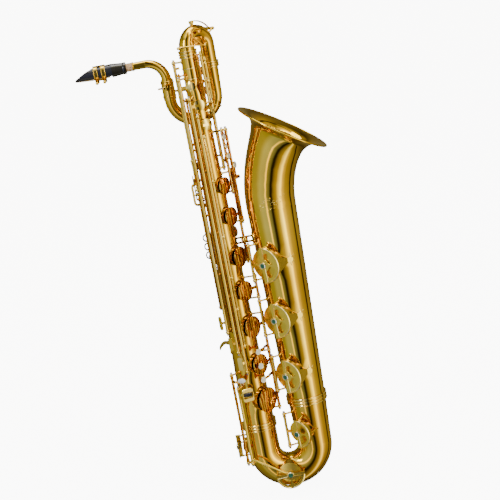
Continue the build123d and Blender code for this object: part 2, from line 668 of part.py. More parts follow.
# ======================================================================================================
# Keys
# ======================================================================================================
PEARL_R, PEARL_T = 6.2, 2.2
HOLDER_T = 2.4
PLATE_T = 2.4
COLLAR_T = 3.0


def cup(key):
    """The cup: a skirt and a low dome, turned about the tone hole's axis."""
    skirt = key["rim"] + PAD_GAP + 1.0
    roof = key["rim"] + PAD_GAP + PAD_H
    r = key["r"]
    with BuildSketch(plan_plane(key["cx"], key["az"], key["z"])) as profile:
        with BuildLine():
            Polyline((0, roof), (r - CUP_WALL, roof), (r - CUP_WALL, skirt), (r, skirt), (r, roof + 0.5))
            ThreePointArc((r, roof + 0.5), (r * 0.55, roof + 2.1), (0, roof + 2.6))
            Line((0, roof + 2.6), (0, roof))
        make_face()
    axis = Axis((key["cx"], 0, key["z"]), outward(key["az"]))
    revolve(profile.sketch, axis=axis)


def cup_hub(key):
    """The round boss in the middle of the cup."""
    hub = face_plane(key["cx"], key["az"], key["z"], key["rim"] + PAD_GAP + PAD_H + 1.0)
    extrude(disc(hub, key["r"] * 0.16), amount=2.6)


def cup_arm(key):
    """The arm from the hinge over the top of the cup to its middle."""
    roof = key["rim"] + PAD_GAP + PAD_H
    side = math.copysign(1, key["s"])
    plane = plan_plane(key["cx"], key["az"], key["z"])
    knee = (side * key["r"] * 0.84, roof + 2.0)
    middle = (-side * 2.0, roof + 2.8)
    extrude(capsule(plane, (key["s"], key["h"]), knee, 2.0, 1.5), amount=ARM_W / 2, both=True)
    extrude(capsule(plane, knee, middle, 1.5, 1.1), amount=ARM_W / 2 - 0.6, both=True)


def pad(key):
    """The leather pad in the cup."""
    outline = disc(face_plane(key["cx"], key["az"], key["z"], key["rim"] + PAD_GAP), key["r"] - CUP_WALL)
    with BuildPart() as disk:
        extrude(outline, amount=PAD_H)
    return disk.part


def touch_plane(x, y, z, azimuth):
    """The plane under a touch piece, looking outward."""
    return Plane(origin=(x, y, z), x_dir=sideways(azimuth), z_dir=outward(azimuth))


def pearl(x, y, z, azimuth, radius):
    """A pearl disc with a softened edge."""
    plane = touch_plane(x, y, z, azimuth).offset(0.8)
    with BuildPart() as button:
        extrude(disc(plane, radius), amount=PEARL_T)
        fillet(button.edges().filter_by(GeomType.CIRCLE).sort_by(Axis(plane.origin, plane.z_dir))[-1], 1.0)
    return button.part


def plate(x, y, z_low, z_high, azimuth, width):
    """A long touch plate with round ends."""
    plane = touch_plane(x, y, (z_low + z_high) / 2, azimuth)
    with BuildSketch(plane) as outline:
        RectangleRounded(width, z_high - z_low, min(width, z_high - z_low) * 0.42)
    extrude(outline.sketch, amount=PLATE_T)


def make_key(name, key, touches=(), pearls=(), arms=(), more=None, more_is_arm=False):
    """Builds a key in its closed position and turns it to where it rests."""
    hinge = key["hinge"]
    z_low, z_high = key["tube"]
    discs = [pearl(*spot) for spot in pearls]
    soft = [pad(key)] if "r" in key else []
    with BuildPart() as metal:
        leg(*hinge, z_low, TUBE_R, z_high, TUBE_R)
        for foot in (z_low, z_high - COLLAR_T):
            leg(*hinge, foot, TUBE_R + 0.7, foot + COLLAR_T, TUBE_R + 0.7)
        if "r" in key:
            cup(key)
            cup_hub(key)
        if "r" in key and not more_is_arm:
            cup_arm(key)
        for x, y, z, azimuth, radius in pearls:
            extrude(disc(touch_plane(x, y, z, azimuth), radius + 1.0), amount=HOLDER_T)
        for x, y, low, high, azimuth, width in touches:
            plate(x, y, low, high, azimuth, width)
        for height, points in arms:
            plan_arm(height, [hinge, *points], 5.0)
        if more:
            more()
        leg(*hinge, z_low - 1, TUBE_BORE, z_high + 1, TUBE_BORE, mode=Mode.SUBTRACT)
        for shape in (*discs, *soft):
            add(shape, mode=Mode.SUBTRACT)
    rest = 0.0
    if key.get("opens"):
        rest = math.copysign(key["swing"], key["s"])
    finish(name, *[turned(shape, hinge, rest) for shape in (metal.part, *soft, *discs)])


STACK_OVER = [(41.5, -16.0), (36.0, -27.0)]
STACK_PEARL = (19.6, -41.0)
G_RISER = (47.8, -10.4)


def g_riser():
    """The upright bar that lifts the G pearl above its arm."""
    bar((*G_RISER, 713), (*G_RISER, 742), 1.7)


touchwork = {
    "d_key": dict(pearls=[(*STACK_PEARL, 280.0, 27, PEARL_R)], arms=[(280.0, [*STACK_OVER, STACK_PEARL])]),
    "e_key": dict(pearls=[(*STACK_PEARL, 311.0, 27, PEARL_R)], arms=[(311.0, [*STACK_OVER, STACK_PEARL])]),
    "f_key": dict(pearls=[(*STACK_PEARL, 343.0, 27, PEARL_R)], arms=[(343.0, [*STACK_OVER, STACK_PEARL])]),
    "g_key": dict(
        pearls=[(47.0, -12.0, 742.0, 55, PEARL_R)],
        arms=[(714.0, [(55.5, 8.0), (55.5, -4.0), G_RISER])],
        more=g_riser,
    ),
    "a_key": dict(pearls=[(38.4, -10.0, 763.0, 55, PEARL_R)], arms=[(763.0, [(38.8, -9.6)])]),
    "b_key": dict(
        pearls=[(37.0, -9.5, 804.0, 55, PEARL_R), (38.0, -9.5, 783.5, 55, 4.4)],
        arms=[(804.0, [(37.4, -9.2)]), (783.5, [(38.4, -9.2)])],
    ),
    "side_bflat_key": dict(touches=[(-14.5, -41.5, 308, 337, -20, 10)], arms=[(322.0, [(-14.5, -40.8)])]),
    "side_c_key": dict(touches=[(-26.0, -36.5, 353, 382, -32, 10)], arms=[(367.0, [(-26.0, -35.8)])]),
    "high_e_key": dict(touches=[(-39.0, -22.0, 398, 428, -55, 10)], arms=[(413.0, [(-38.6, -21.6)])]),
    "palm_d_key": dict(touches=[(34.6, 23.1, 743, 757, 70, 12)], arms=[(750.0, [(34.1, 22.0)])]),
    "palm_eflat_key": dict(touches=[(28.9, 32.4, 768, 787, 85, 12)], arms=[(777.0, [(28.7, 31.0)])]),
    "palm_f_key": dict(touches=[(14.0, 33.0, 800, 822, 100, 12)], arms=[(811.0, [(13.9, 32.0)])]),
    "g_sharp_key": dict(touches=[(-1.4, 45.6, 558, 577, 135, 14)], arms=[(567.0, [(-1.2, 45.0)])]),
    "low_eflat_key": dict(
        touches=[(-20.0, -45.5, 276, 291, -25, 14)],
        arms=[(284.0, [(-33.0, -42.0), (-21.0, -44.6)])],
    ),
    "table_csharp_lever": dict(
        touches=[(14.4, 42.2, 541, 552, 145, 14)],
        arms=[(547.0, [(14.8, 41.4)]), (200.0, [(34.0, 31.0)])],
    ),
    "table_b_lever": dict(
        touches=[(2.9, 44.0, 518, 529, 160, 14)],
        arms=[(524.0, [(3.2, 43.2)]), (330.0, [(19.0, 48.0)])],
    ),
    "table_bflat_lever": dict(
        touches=[(-7.8, 43.4, 492, 506, 174, 14)],
        arms=[(499.0, [(-7.4, 42.8)]), (435.0, [(8.0, 50.0)])],
    ),
    "low_a_thumb_lever": dict(touches=[(-37.5, -25.0, 712, 738, -90, 12)], arms=[(725.0, [(-38.0, -23.0)])]),
    "octave_thumb_lever": dict(
        touches=[(-38.5, 20.0, 676, 704, -90, 14)],
        arms=[(690.0, [(-39.2, 18.0)]), (958.0, [(-24.0, 10.0)])],
    ),
}
for name, key in (*KEYS.items(), *LEVERS.items()):
    make_key(name, key, **touchwork.get(name, {}))

C_ARM_R = 2.6
C_ROLLER = (-11.0, -47.5, 254.0)
ROLLER_R, ROLLER_L = 3.3, 12.0


def low_c_shape():
    """The long bent arm of the low C key, its ribs, and the frame that holds the roller."""
    spots = [(-30, -36, 103), (-14, -47, 98), (12, -53, 84), (34, -47, 66), (46, -44.6, 60)]
    for start, end in zip(spots, spots[1:]):
        bar(start, end, C_ARM_R)
        with Locations(end):
            Sphere(C_ARM_R)
    along = (Vector(12, -53, 84) - Vector(-14, -47, 98)).normalized()
    for share in (0.25, 0.4, 0.55, 0.7):
        middle = Vector(-14, -47, 98) + (Vector(12, -53, 84) - Vector(-14, -47, 98)) * share
        bar(tuple(middle - along * 0.9), tuple(middle + along * 0.9), C_ARM_R + 1.2)
    x, y, z = C_ROLLER
    with BuildSketch(Plane(origin=(x, y + 3.8, z), x_dir=(1, 0, 0), z_dir=(0, -1, 0))) as frame:
        RectangleRounded(ROLLER_L + 5.0, 12.0, 2.0)
    extrude(frame.sketch, amount=4.4)
    with BuildSketch(Plane(origin=(x, y + 3.8, z), x_dir=(1, 0, 0), z_dir=(0, -1, 0))) as opening:
        Rectangle(ROLLER_L + 0.8, 2 * ROLLER_R + 0.9)
    extrude(opening.sketch, amount=4.4, mode=Mode.SUBTRACT)


def roller_pin():
    """The pin that the roller turns on."""
    x, y, z = C_ROLLER
    half = ROLLER_L / 2 + 2.0
    bar((x - half, y + 1.4, z), (x + half, y + 1.4, z), 1.0)


def low_c_all():
    """The low C key's arm and its roller's pin."""
    low_c_shape()
    roller_pin()


c_arms = [(254.0, [(-25.0, -42.0), (-19.0, -44.6)])]
make_key("low_c_key", LOW_C, arms=c_arms, more=low_c_all, more_is_arm=True)
with BuildPart() as low_c_roller:
    x, y, z = C_ROLLER
    bar((x - ROLLER_L / 2, y + 1.4, z), (x + ROLLER_L / 2, y + 1.4, z), ROLLER_R)
    bar((x - ROLLER_L, y + 1.4, z), (x + ROLLER_L, y + 1.4, z), 1.06, Mode.SUBTRACT)
finish("low_c_roller", turned(low_c_roller.part, LOW_C["hinge"], -LOW_C["swing"]))


# ---- Octave key: a curved arm over the upper bow's shoulder, on a hinge of its own -----------------------
OCT_HINGE_R, OCT_HINGE_ANGLE = TOP_SPAN / 2 + LOOP_R_TOP + 6.6, 34.0
OCT_SPAN = 7.0
ARC_R, ARC_T = TOP_SPAN / 2 + LOOP_R_TOP + 7.2, 2.2
OCT_ROD_REACH = 20.0
across = Vector(-math.sin(math.radians(TOP_LEAN)), math.cos(math.radians(TOP_LEAN)), 0)


def oct_bar(half, radius, mode=Mode.ADD):
    """A bar along the octave key's hinge, half its length to each side."""
    start = bow_point(OCT_HINGE_R, OCT_HINGE_ANGLE, -half)
    bar(start, bow_point(OCT_HINGE_R, OCT_HINGE_ANGLE, half), radius, mode)


with BuildPart() as octave_metal:
    oct_bar(OCT_SPAN, TUBE_R)
    root = Plane(
        origin=bow_point(ARC_R, PIP_ANGLE, 0), x_dir=across,
        z_dir=bend_plane(TOP_CENTRE, ARC_R, PIP_ANGLE, TOP_LEAN).z_dir,
    )
    with BuildSketch(root) as strip:
        RectangleRounded(5.0, ARC_T, 0.9)
    revolve(strip.sketch, axis=Axis(TOP_CENTRE, across), revolution_arc=PIP_ANGLE - OCT_HINGE_ANGLE)
    bar(bow_point(PIP_TOP + 1.2, PIP_ANGLE, 0), bow_point(ARC_R + 1.4, PIP_ANGLE, 0), 5.2)
    oct_bar(OCT_ROD_REACH, TUBE_BORE, Mode.SUBTRACT)
with BuildPart() as octave_pad:
    bar(bow_point(PIP_TOP + PAD_GAP, PIP_ANGLE, 0), bow_point(PIP_TOP + 1.2, PIP_ANGLE, 0), 4.6)
finish("octave_key", octave_metal.part, octave_pad.part)

# ======================================================================================================
# Posts, rods and screws that carry the keys
# ======================================================================================================
POST_STEM_R, POST_FOOT_R, POST_FOOT_T = 2.1, 4.0, 1.3
HEAD_R, HEAD_T = 2.9, 1.8
BOW_SKIN_R, POST_ROOT, POST_EAR = 35.5, 6.0, 9.0
all_keys = [*KEYS.values(), *LEVERS.values(), LOW_C]
spots = []
for key in all_keys:
    for end, height in ((-1, key["tube"][0] - POST_GAP), (1, key["tube"][1] + POST_GAP)):
        twin = [s for s in spots if s[0] == key["hinge"] and abs(s[1] - height) < 1.5]
        if twin:
            twin[0][3] = 0
        else:
            spots.append([key["hinge"], height, 0 if key["cx"] == C_X else key["cx"], end])

with BuildPart() as posts:
    for hinge, height, tube_x, end in spots:
        radial = Vector(hinge[0] - tube_x, hinge[1], 0).normalized()
        if height < BODY_FOOT_Z or (tube_x == BELL_X and height < BELL_FOOT_Z):
            skin = BOW_SKIN_R
        elif tube_x == 0:
            skin = body_r(height)
        else:
            skin = bell_r(height)
        axis_point = Vector(tube_x, 0, height)
        with Locations((hinge[0], hinge[1], height)):
            Sphere(BALL_R)
        bar(tuple(axis_point + radial * (skin - POST_ROOT)), (hinge[0], hinge[1], height), POST_STEM_R)
        foot_top = tuple(axis_point + radial * (skin + POST_FOOT_T))
        bar(tuple(axis_point + radial * (skin - POST_ROOT)), foot_top, POST_FOOT_R)
    for side in (-1, 1):
        ball = bow_point(OCT_HINGE_R, OCT_HINGE_ANGLE, side * (OCT_SPAN + POST_GAP))
        with Locations(ball):
            Sphere(BALL_R - 0.6)
        bar(bow_point(TOP_SPAN / 2 + 4, OCT_HINGE_ANGLE, side * 8), ball, POST_STEM_R)
    for tube in (body_filled, bow_filled, bell_filled, upper_bow_filled):
        add(tube.part, mode=Mode.SUBTRACT)
    for hinge, height, tube_x, end in spots:
        leg(*hinge, height - POST_EAR, ROD_R, height + POST_EAR, ROD_R, mode=Mode.SUBTRACT)
    oct_bar(OCT_ROD_REACH, ROD_R, Mode.SUBTRACT)
finish("posts", posts.part)

rods = []
for key in all_keys:
    with BuildPart() as rod:
        low, high = key["tube"][0] - POST_GAP, key["tube"][1] + POST_GAP
        leg(*key["hinge"], low, ROD_R, high, ROD_R)
    rods.append(rod.part)
with BuildPart() as octave_rod:
    oct_bar(OCT_SPAN + POST_GAP + BALL_R, ROD_R)
finish("hinge_rods", *rods, octave_rod.part)

screws = []
for hinge, height, tube_x, upward in spots:
    if not upward:
        continue
    head = height + upward * (BALL_R + 0.2)
    with BuildPart() as screw:
        leg(*hinge, height, ROD_R, head, ROD_R)
        leg(*hinge, head, HEAD_R, head + upward * HEAD_T, HEAD_R - 0.4)
        with BuildSketch(level(*hinge, head + upward * (HEAD_T - 0.8))) as slot:
            Rectangle(7.0, 0.8)
        extrude(slot.sketch, amount=upward * 2.0, mode=Mode.SUBTRACT)
    screws.append(screw.part)
finish("pivot_screws", *screws)

# ======================================================================================================
# Key guards: half-moon plates on legs over the large cups
# ======================================================================================================
GUARD_RISE, GUARD_T = 17.0, 1.8
FELT_R, FELT_T = 4.6, 1.6
LEG_IN, LEG_R, LEG_TURN = 2.6, 1.9, 1.45
WINDOW_REACH, WINDOW_WIDTH, WINDOW_ARC = 0.56, 0.42, 29
WINDOW_STARTS = (27, -56)
GUARD_SCREW_R, GUARD_SCREW_TOP = 3.4, 2.2
felts, guard_screws = [], []


def half_moon(key, radius, direction):
    """Outline of a guard: half a disc with a boss in the middle and two kidney-shaped windows."""
    plane = face_plane(key["cx"], key["az"], key["z"], key["rim"] + GUARD_RISE)
    reach = radius * WINDOW_REACH
    windows = [CenterArc((0, 0), reach, direction + start, WINDOW_ARC) for start in WINDOW_STARTS]
    back = radius / 2 + 3.0
    a = math.radians(direction)
    with BuildSketch(plane) as outline:
        Circle(radius)
        with Locations((-back * math.cos(a), -back * math.sin(a))):
            Rectangle(radius, 2 * radius + 2, rotation=direction, mode=Mode.SUBTRACT)
        Circle(radius * 0.2)
        for window in windows:
            SlotArc(window, radius * WINDOW_WIDTH, mode=Mode.SUBTRACT)
    return outline.sketch


def face_point(key, side, up, distance):
    """A point by its place in front of a tone hole."""
    point = Vector(key["cx"], 0, key["z"] + up)
    return tuple(point + sideways(key["az"]) * side + outward(key["az"]) * distance)


def make_guard(name, key, radius, direction, tube, bracket_foot=None):
    """A guard plate, its rim, its legs down to the tube, and its felt and screw."""
    top = key["rim"] + GUARD_RISE
    outline = half_moon(key, radius, direction)
    a = math.radians(direction)
    turns = [LEG_TURN, -LEG_TURN] if bracket_foot else [LEG_TURN, -LEG_TURN, 0]
    far = radius - LEG_IN
    tips = [(math.cos(a + turn) * far, math.sin(a + turn) * far) for turn in turns]
    with BuildPart() as guard:
        extrude(outline, amount=GUARD_T)
        for side, up in tips:
            bar(face_point(key, side, up, 6.0), face_point(key, side, up, top + 1.0), LEG_R)
        if bracket_foot:
            start = Vector(*face_point(key, radius - 3.5, 0, top))
            foot_dir = outward(bracket_foot)
            end = Vector(key["cx"], 0, key["z"]) + foot_dir * (bell_r(max(key["z"], BELL_FOOT_Z)) - 3)
            run = end - start
            slope = Plane(origin=start, x_dir=run, z_dir=Vector(run.Y, -run.X, 0))
            with BuildSketch(slope) as web:
                Polygon((0, -17), (run.length, -3.5), (run.length, 3.5), (0, 17), align=None)
            extrude(web.sketch, amount=0.9, both=True)
            bar(tuple(end - foot_dir * 2), tuple(end + foot_dir * 4.4), 6.5)
        add(tube, mode=Mode.SUBTRACT)
    finish(name, guard.part)
    with BuildPart() as felt:
        bar(face_point(key, 0, 0, top - FELT_T), face_point(key, 0, 0, top), FELT_R)
    felts.append(felt.part)
    with BuildPart() as screw:
        seat = top + GUARD_T
        bar(face_point(key, 0, 0, seat), face_point(key, 0, 0, seat + GUARD_SCREW_TOP), GUARD_SCREW_R)
        bar(face_point(key, 0, 0, seat + 1.2), face_point(key, 0, 0, seat + 3), LEG_R, Mode.SUBTRACT)
    guard_screws.append(screw.part)


make_guard("low_a_guard", KEYS["low_a_key"], 39.0, 0, bell_filled.part, 20)
make_guard("low_bflat_guard", KEYS["low_bflat_key"], 39.0, 0, bell_filled.part, 20)
make_guard("low_b_guard", KEYS["low_b_key"], 37.5, 0, bell_filled.part, 20)
make_guard("low_csharp_guard", KEYS["low_csharp_key"], 32.0, 0, bow_filled.part)
make_guard("low_c_guard", LOW_C, 31.0, -90, bow_filled.part)
make_guard("low_eflat_guard", KEYS["low_eflat_key"], 26.0, 180, bow_filled.part)
finish("guard_felts", *felts)
finish("guard_screws", *guard_screws)

# ======================================================================================================
# Braces, strap ring, thumb rest and hook, receiver screw
# ======================================================================================================
BRACE_Z = (584.0, 573.0)
BRACE_R = 2.3
BRACE_MID_X = 43.0
with BuildPart() as bell_brace:
    for height in BRACE_Z:
        bar((10, 0, height), (BELL_X - 20, 0, height), BRACE_R)
    bar((18, 0, 578.5), (body_r(578.5) + 1.8, 0, 578.5), 12.0)
    bar((BELL_X - 30, 0, 578.5), (BELL_X - bell_r(578.5) - 1.8, 0, 578.5), 13.0)
    with Locations((BRACE_MID_X, 0, 578.5)):
        Sphere(7.4)
    add(body_filled.part, mode=Mode.SUBTRACT)
    add(bell_filled.part, mode=Mode.SUBTRACT)
finish("bell_brace", bell_brace.part)

BRACE2_Z = 911.0
with BuildPart() as receiver_brace:
    bar((RECEIVER_X, LOOP_Y, BRACE2_Z), (-6, 6, BRACE2_Z), 2.6)
    away = (Vector(RECEIVER_X, LOOP_Y, BRACE2_Z) - Vector(-6, 6, BRACE2_Z)).normalized()
    skin_point = Vector(0, 0, BRACE2_Z) + away * (body_r(BRACE2_Z) + 1.4)
    bar((-2, 2, BRACE2_Z), tuple(skin_point), 6.5)
    add(body_filled.part, mode=Mode.SUBTRACT)
    leg(RECEIVER_X, LOOP_Y, RECEIVER_FOOT_Z, RECEIVER_R, RECEIVER_TOP_Z, RECEIVER_R, mode=Mode.SUBTRACT)
finish("receiver_brace", receiver_brace.part)

with BuildPart() as strap_ring:
    ring_plane = Plane(origin=(STRAP_X, STRAP_T / 2, 0), x_dir=(1, 0, 0), z_dir=(0, -1, 0))
    heights = [STRAP_Z + step * STRAP_PITCH for step in (-1, 0, 1)]
    with BuildSketch(ring_plane) as outline:
        with Locations(*[(0, z) for z in heights]):
            Circle(STRAP_OUT_R)
        with Locations((7.5, STRAP_Z)):
            RectangleRounded(9.0, 2 * STRAP_PITCH + 14, 3.0)
        with Locations(*[(0, z) for z in heights]):
            Circle(STRAP_HOLE_R, mode=Mode.SUBTRACT)
    extrude(outline.sketch, amount=STRAP_T)
    with BuildSketch(Plane(origin=(-14, 0, STRAP_Z), x_dir=(0, 1, 0), z_dir=(-1, 0, 0))) as base:
        RectangleRounded(13.0, 2 * STRAP_PITCH + 22, 4.0)
    extrude(base.sketch, amount=body_r(STRAP_Z) - 14 + 2.6)
    add(body_filled.part, mode=Mode.SUBTRACT)
    for z in heights:
        bar((STRAP_X, -5, z), (STRAP_X, 5, z), STRAP_HOLE_R, Mode.SUBTRACT)
finish("strap_ring", strap_ring.part)

REST_Z, HOOK_Z = 752.0, 361.0
with BuildPart() as thumb_rest:
    bar((-12, 0, REST_Z), (-body_r(REST_Z) - 4.2, 0, REST_Z), 8.4)
    fillet(thumb_rest.edges().filter_by(GeomType.CIRCLE).sort_by(Axis.X)[0], 1.6)
    add(body_filled.part, mode=Mode.SUBTRACT)
finish("thumb_rest", thumb_rest.part)

with BuildPart() as thumb_hook:
    with BuildSketch(Plane(origin=(-18, 0, HOOK_Z - 8), x_dir=(0, 1, 0), z_dir=(-1, 0, 0))) as base:
        RectangleRounded(14.0, 34.0, 4.0)
    extrude(base.sketch, amount=body_r(HOOK_Z) - 18 + 2.4)
    with BuildSketch(side_plane(7.0)) as curve:
        with BuildLine():
            Polyline((-28, HOOK_Z - 5), (-28, HOOK_Z + 2), (-40, HOOK_Z + 4))
            ThreePointArc((-40, HOOK_Z + 4), (-49, HOOK_Z - 1), (-54, HOOK_Z - 10))
            Polyline((-54, HOOK_Z - 10), (-51, HOOK_Z - 11))
            ThreePointArc((-51, HOOK_Z - 11), (-46, HOOK_Z - 4), (-39, HOOK_Z))
            Polyline((-39, HOOK_Z), (-28, HOOK_Z - 5))
        make_face()
    extrude(curve.sketch, amount=14.0)
    add(body_filled.part, mode=Mode.SUBTRACT)
finish("thumb_hook", thumb_hook.part)

with BuildPart() as receiver_screw:
    bar((RECEIVER_X - 7, SCREW_Y, SCREW_Z), (RECEIVER_X + 7, SCREW_Y, SCREW_Z), 1.55)
    bar((RECEIVER_X - 5.6, SCREW_Y, SCREW_Z), (RECEIVER_X - 9, SCREW_Y, SCREW_Z), 3.2)
    with BuildSketch(level(RECEIVER_X - 14, SCREW_Y, SCREW_Z)) as grip:
        SlotOverall(14.0, 9.0)
    extrude(grip.sketch, amount=1.5, both=True)
finish("receiver_screw", receiver_screw.part)
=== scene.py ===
"""Looks for the baritone saxophone: materials on the CAD nodes, small fittings, stage, lights and camera."""
import json
import math

import bmesh
import bpy
from mathutils import Matrix, Vector

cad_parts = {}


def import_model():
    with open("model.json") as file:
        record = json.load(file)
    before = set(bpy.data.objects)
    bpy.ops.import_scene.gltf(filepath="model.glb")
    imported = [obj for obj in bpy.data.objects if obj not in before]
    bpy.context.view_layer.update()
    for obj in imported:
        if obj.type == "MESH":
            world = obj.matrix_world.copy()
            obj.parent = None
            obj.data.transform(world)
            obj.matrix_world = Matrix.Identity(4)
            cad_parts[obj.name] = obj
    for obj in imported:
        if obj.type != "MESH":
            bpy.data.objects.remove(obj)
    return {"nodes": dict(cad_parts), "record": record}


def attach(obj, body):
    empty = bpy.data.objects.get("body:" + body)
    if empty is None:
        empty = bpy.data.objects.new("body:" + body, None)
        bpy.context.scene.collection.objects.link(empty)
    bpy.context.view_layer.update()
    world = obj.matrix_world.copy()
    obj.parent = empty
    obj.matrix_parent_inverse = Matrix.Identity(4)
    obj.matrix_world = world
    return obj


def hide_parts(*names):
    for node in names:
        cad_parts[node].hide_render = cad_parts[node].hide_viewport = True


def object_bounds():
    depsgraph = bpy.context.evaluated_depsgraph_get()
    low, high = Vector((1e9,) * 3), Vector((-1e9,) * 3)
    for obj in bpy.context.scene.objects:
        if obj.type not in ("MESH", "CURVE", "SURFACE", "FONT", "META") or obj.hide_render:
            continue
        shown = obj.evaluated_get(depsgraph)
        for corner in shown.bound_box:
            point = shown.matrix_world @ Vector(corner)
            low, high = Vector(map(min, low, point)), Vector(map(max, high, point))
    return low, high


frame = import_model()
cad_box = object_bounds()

NODES = frame["nodes"]
ORIGIN_MM = Vector((-35.0, 0.0, 578.0))

# Millimetres of the drawing frame. The main tube's ends and outside radii, the bell's straight side, its bend
# and flare, the loop's axis, how far a tone hole's collar stands out, and the guards' thickness and distance
BODY_FOOT_Z, BODY_TOP_Z, BODY_FOOT_R, BODY_TOP_R = 165.0, 985.0, 34.0, 16.5
BELL_X, BELL_FOOT_Z, BELL_BEND_Z, BELL_FOOT_R, BELL_SIDE_R = 111.5, 205.0, 640.0, 41.0, 52.6
BELL_BEND_R, BELL_TILT, FLARE = 265.0, math.radians(33.0), 18.0
THROAT_R, FLARE_REACH, FLARE_SHARPNESS, FLARE_POWER = 51.6, 47.4, 9.9, 1.3
LOOP_X, LOOP_Y = 41.5, 39.0
HOLE_RISE = 3.0
GUARD_THICK = 1.8
GUARD_TOP = 17.0 + GUARD_THICK
CREASE_ANGLE = math.radians(35)


def at(x, y, z):
    """A point of the drawing frame, in millimetres, as a point of the row frame in metres."""
    return (Vector((x, y, z)) - ORIGIN_MM) / 1000


# ======================================================================================================
# Materials
# ======================================================================================================
class Nodes:
    """A material under construction: makes and joins its shader nodes."""

    def __init__(self, name):
        self.material = bpy.data.materials.new(name)
        self.material.use_nodes = True
        self.tree = self.material.node_tree
        self.shader = self.tree.nodes["Principled BSDF"]
        self.place = self.new("ShaderNodeTexCoord").outputs["Object"]

    def new(self, kind, **values):
        node = self.tree.nodes.new(kind)
        for key, value in values.items():
            if key in node.inputs:
                node.inputs[key].default_value = value
            else:
                setattr(node, key, value)
        return node

    def join(self, start, end):
        self.tree.links.new(start, end)

    def noise(self, scale, detail=4.0, stretch=(1, 1, 1), roughness=0.5):
        mapping = self.new("ShaderNodeMapping")
        mapping.inputs["Scale"].default_value = stretch
        self.join(self.place, mapping.inputs["Vector"])
        texture = self.new("ShaderNodeTexNoise", Scale=scale, Detail=detail, Roughness=roughness)
        self.join(mapping.outputs["Vector"], texture.inputs["Vector"])
        return texture.outputs["Fac"]

    def ramp(self, value, stops):
        node = self.new("ShaderNodeValToRGB")
        ramp = node.color_ramp
        while len(ramp.elements) < len(stops):
            ramp.elements.new(0.5)
        for element, (position, colour) in zip(ramp.elements, stops):
            element.position = position
            element.color = (*colour, 1.0)
        self.join(value, node.inputs["Fac"])
        return node.outputs["Color"]

    def span(self, value, low, high):
        node = self.new("ShaderNodeMapRange")
        node.inputs["To Min"].default_value = low
        node.inputs["To Max"].default_value = high
        self.join(value, node.inputs["Value"])
        return node.outputs["Result"]

    def bump(self, value, strength, distance):
        node = self.new("ShaderNodeBump", Strength=strength, Distance=distance)
        self.join(value, node.inputs["Height"])
        self.join(node.outputs["Normal"], self.shader.inputs["Normal"])
        return node

    def set(self, **values):
        for key, value in values.items():
            self.shader.inputs[key.replace("_", " ")].default_value = value


def polished_metal(name, dark, mid, light, rough=(0.06, 0.13), coat=0.12, grain=0.03):
    """Buffed metal under clear lacquer: a slow change of tone, faint wipe marks and fine buffing lines."""
    m = Nodes(name)
    slow = m.noise(9.0, 3.0)
    m.join(m.ramp(slow, [(0.3, dark), (0.52, mid), (0.75, light)]), m.shader.inputs["Base Color"])
    wipe = m.noise(60.0, 6.0, stretch=(1.0, 1.0, 0.25), roughness=0.65)
    m.join(m.span(wipe, *rough), m.shader.inputs["Roughness"])
    lines = m.noise(420.0, 3.0, stretch=(1.0, 1.0, 0.06))
    m.bump(lines, grain, 0.0002)
    m.set(Metallic=1.0, Coat_Weight=coat, Coat_Roughness=0.04)
    return m.material


brass = polished_metal("lacquered_brass", (0.68, 0.38, 0.02), (0.78, 0.47, 0.03), (0.86, 0.56, 0.06))
bell_brass = polished_metal(
    "bell_brass", (0.66, 0.39, 0.02), (0.76, 0.48, 0.03), (0.84, 0.57, 0.05), rough=(0.05, 0.10)
)
# Painted shade: a dark copy of the bell brass for the inside of the throat; its higher roughness is that of
# unbuffed brass.
shaded_throat_brass = polished_metal(
    "shaded_throat_brass", (0.10, 0.05, 0.008), (0.20, 0.11, 0.015), (0.34, 0.20, 0.03), rough=(0.22, 0.34)
)
key_brass = polished_metal("key_brass", (0.70, 0.40, 0.03), (0.80, 0.51, 0.06), (0.88, 0.63, 0.12))
guard_brass = polished_metal(
    "guard_brass", (0.80, 0.54, 0.05), (0.88, 0.63, 0.08), (0.93, 0.71, 0.13), rough=(0.24, 0.34)
)
guard_shine = polished_metal(
    "guard_shine", (0.86, 0.62, 0.12), (0.93, 0.72, 0.2), (0.97, 0.80, 0.30), rough=(0.08, 0.14)
)
key_shine = polished_metal(
    "key_shine", (0.78, 0.50, 0.05), (0.88, 0.62, 0.10), (0.96, 0.76, 0.24), rough=(0.05, 0.11)
)
# Painted shade: a dark amber copy of the brass for the rods that stand where the gaps between rods fall dark.
shaded_rod_brass = polished_metal(
    "shaded_rod_brass", (0.34, 0.12, 0.006), (0.48, 0.20, 0.012), (0.62, 0.30, 0.02), rough=(0.12, 0.22)
)
warm_brass = polished_metal(
    "warm_brass", (0.70, 0.30, 0.008), (0.84, 0.42, 0.014), (0.94, 0.56, 0.04), rough=(0.16, 0.26)
)
silver = polished_metal(
    "silver_plate", (0.74, 0.74, 0.73), (0.82, 0.82, 0.81), (0.9, 0.9, 0.89), rough=(0.05, 0.12), coat=0.0
)
steel = polished_metal(
    "turned_steel", (0.42, 0.42, 0.43), (0.55, 0.55, 0.56), (0.68, 0.68, 0.69),
    rough=(0.18, 0.3), coat=0.0, grain=0.1,
)


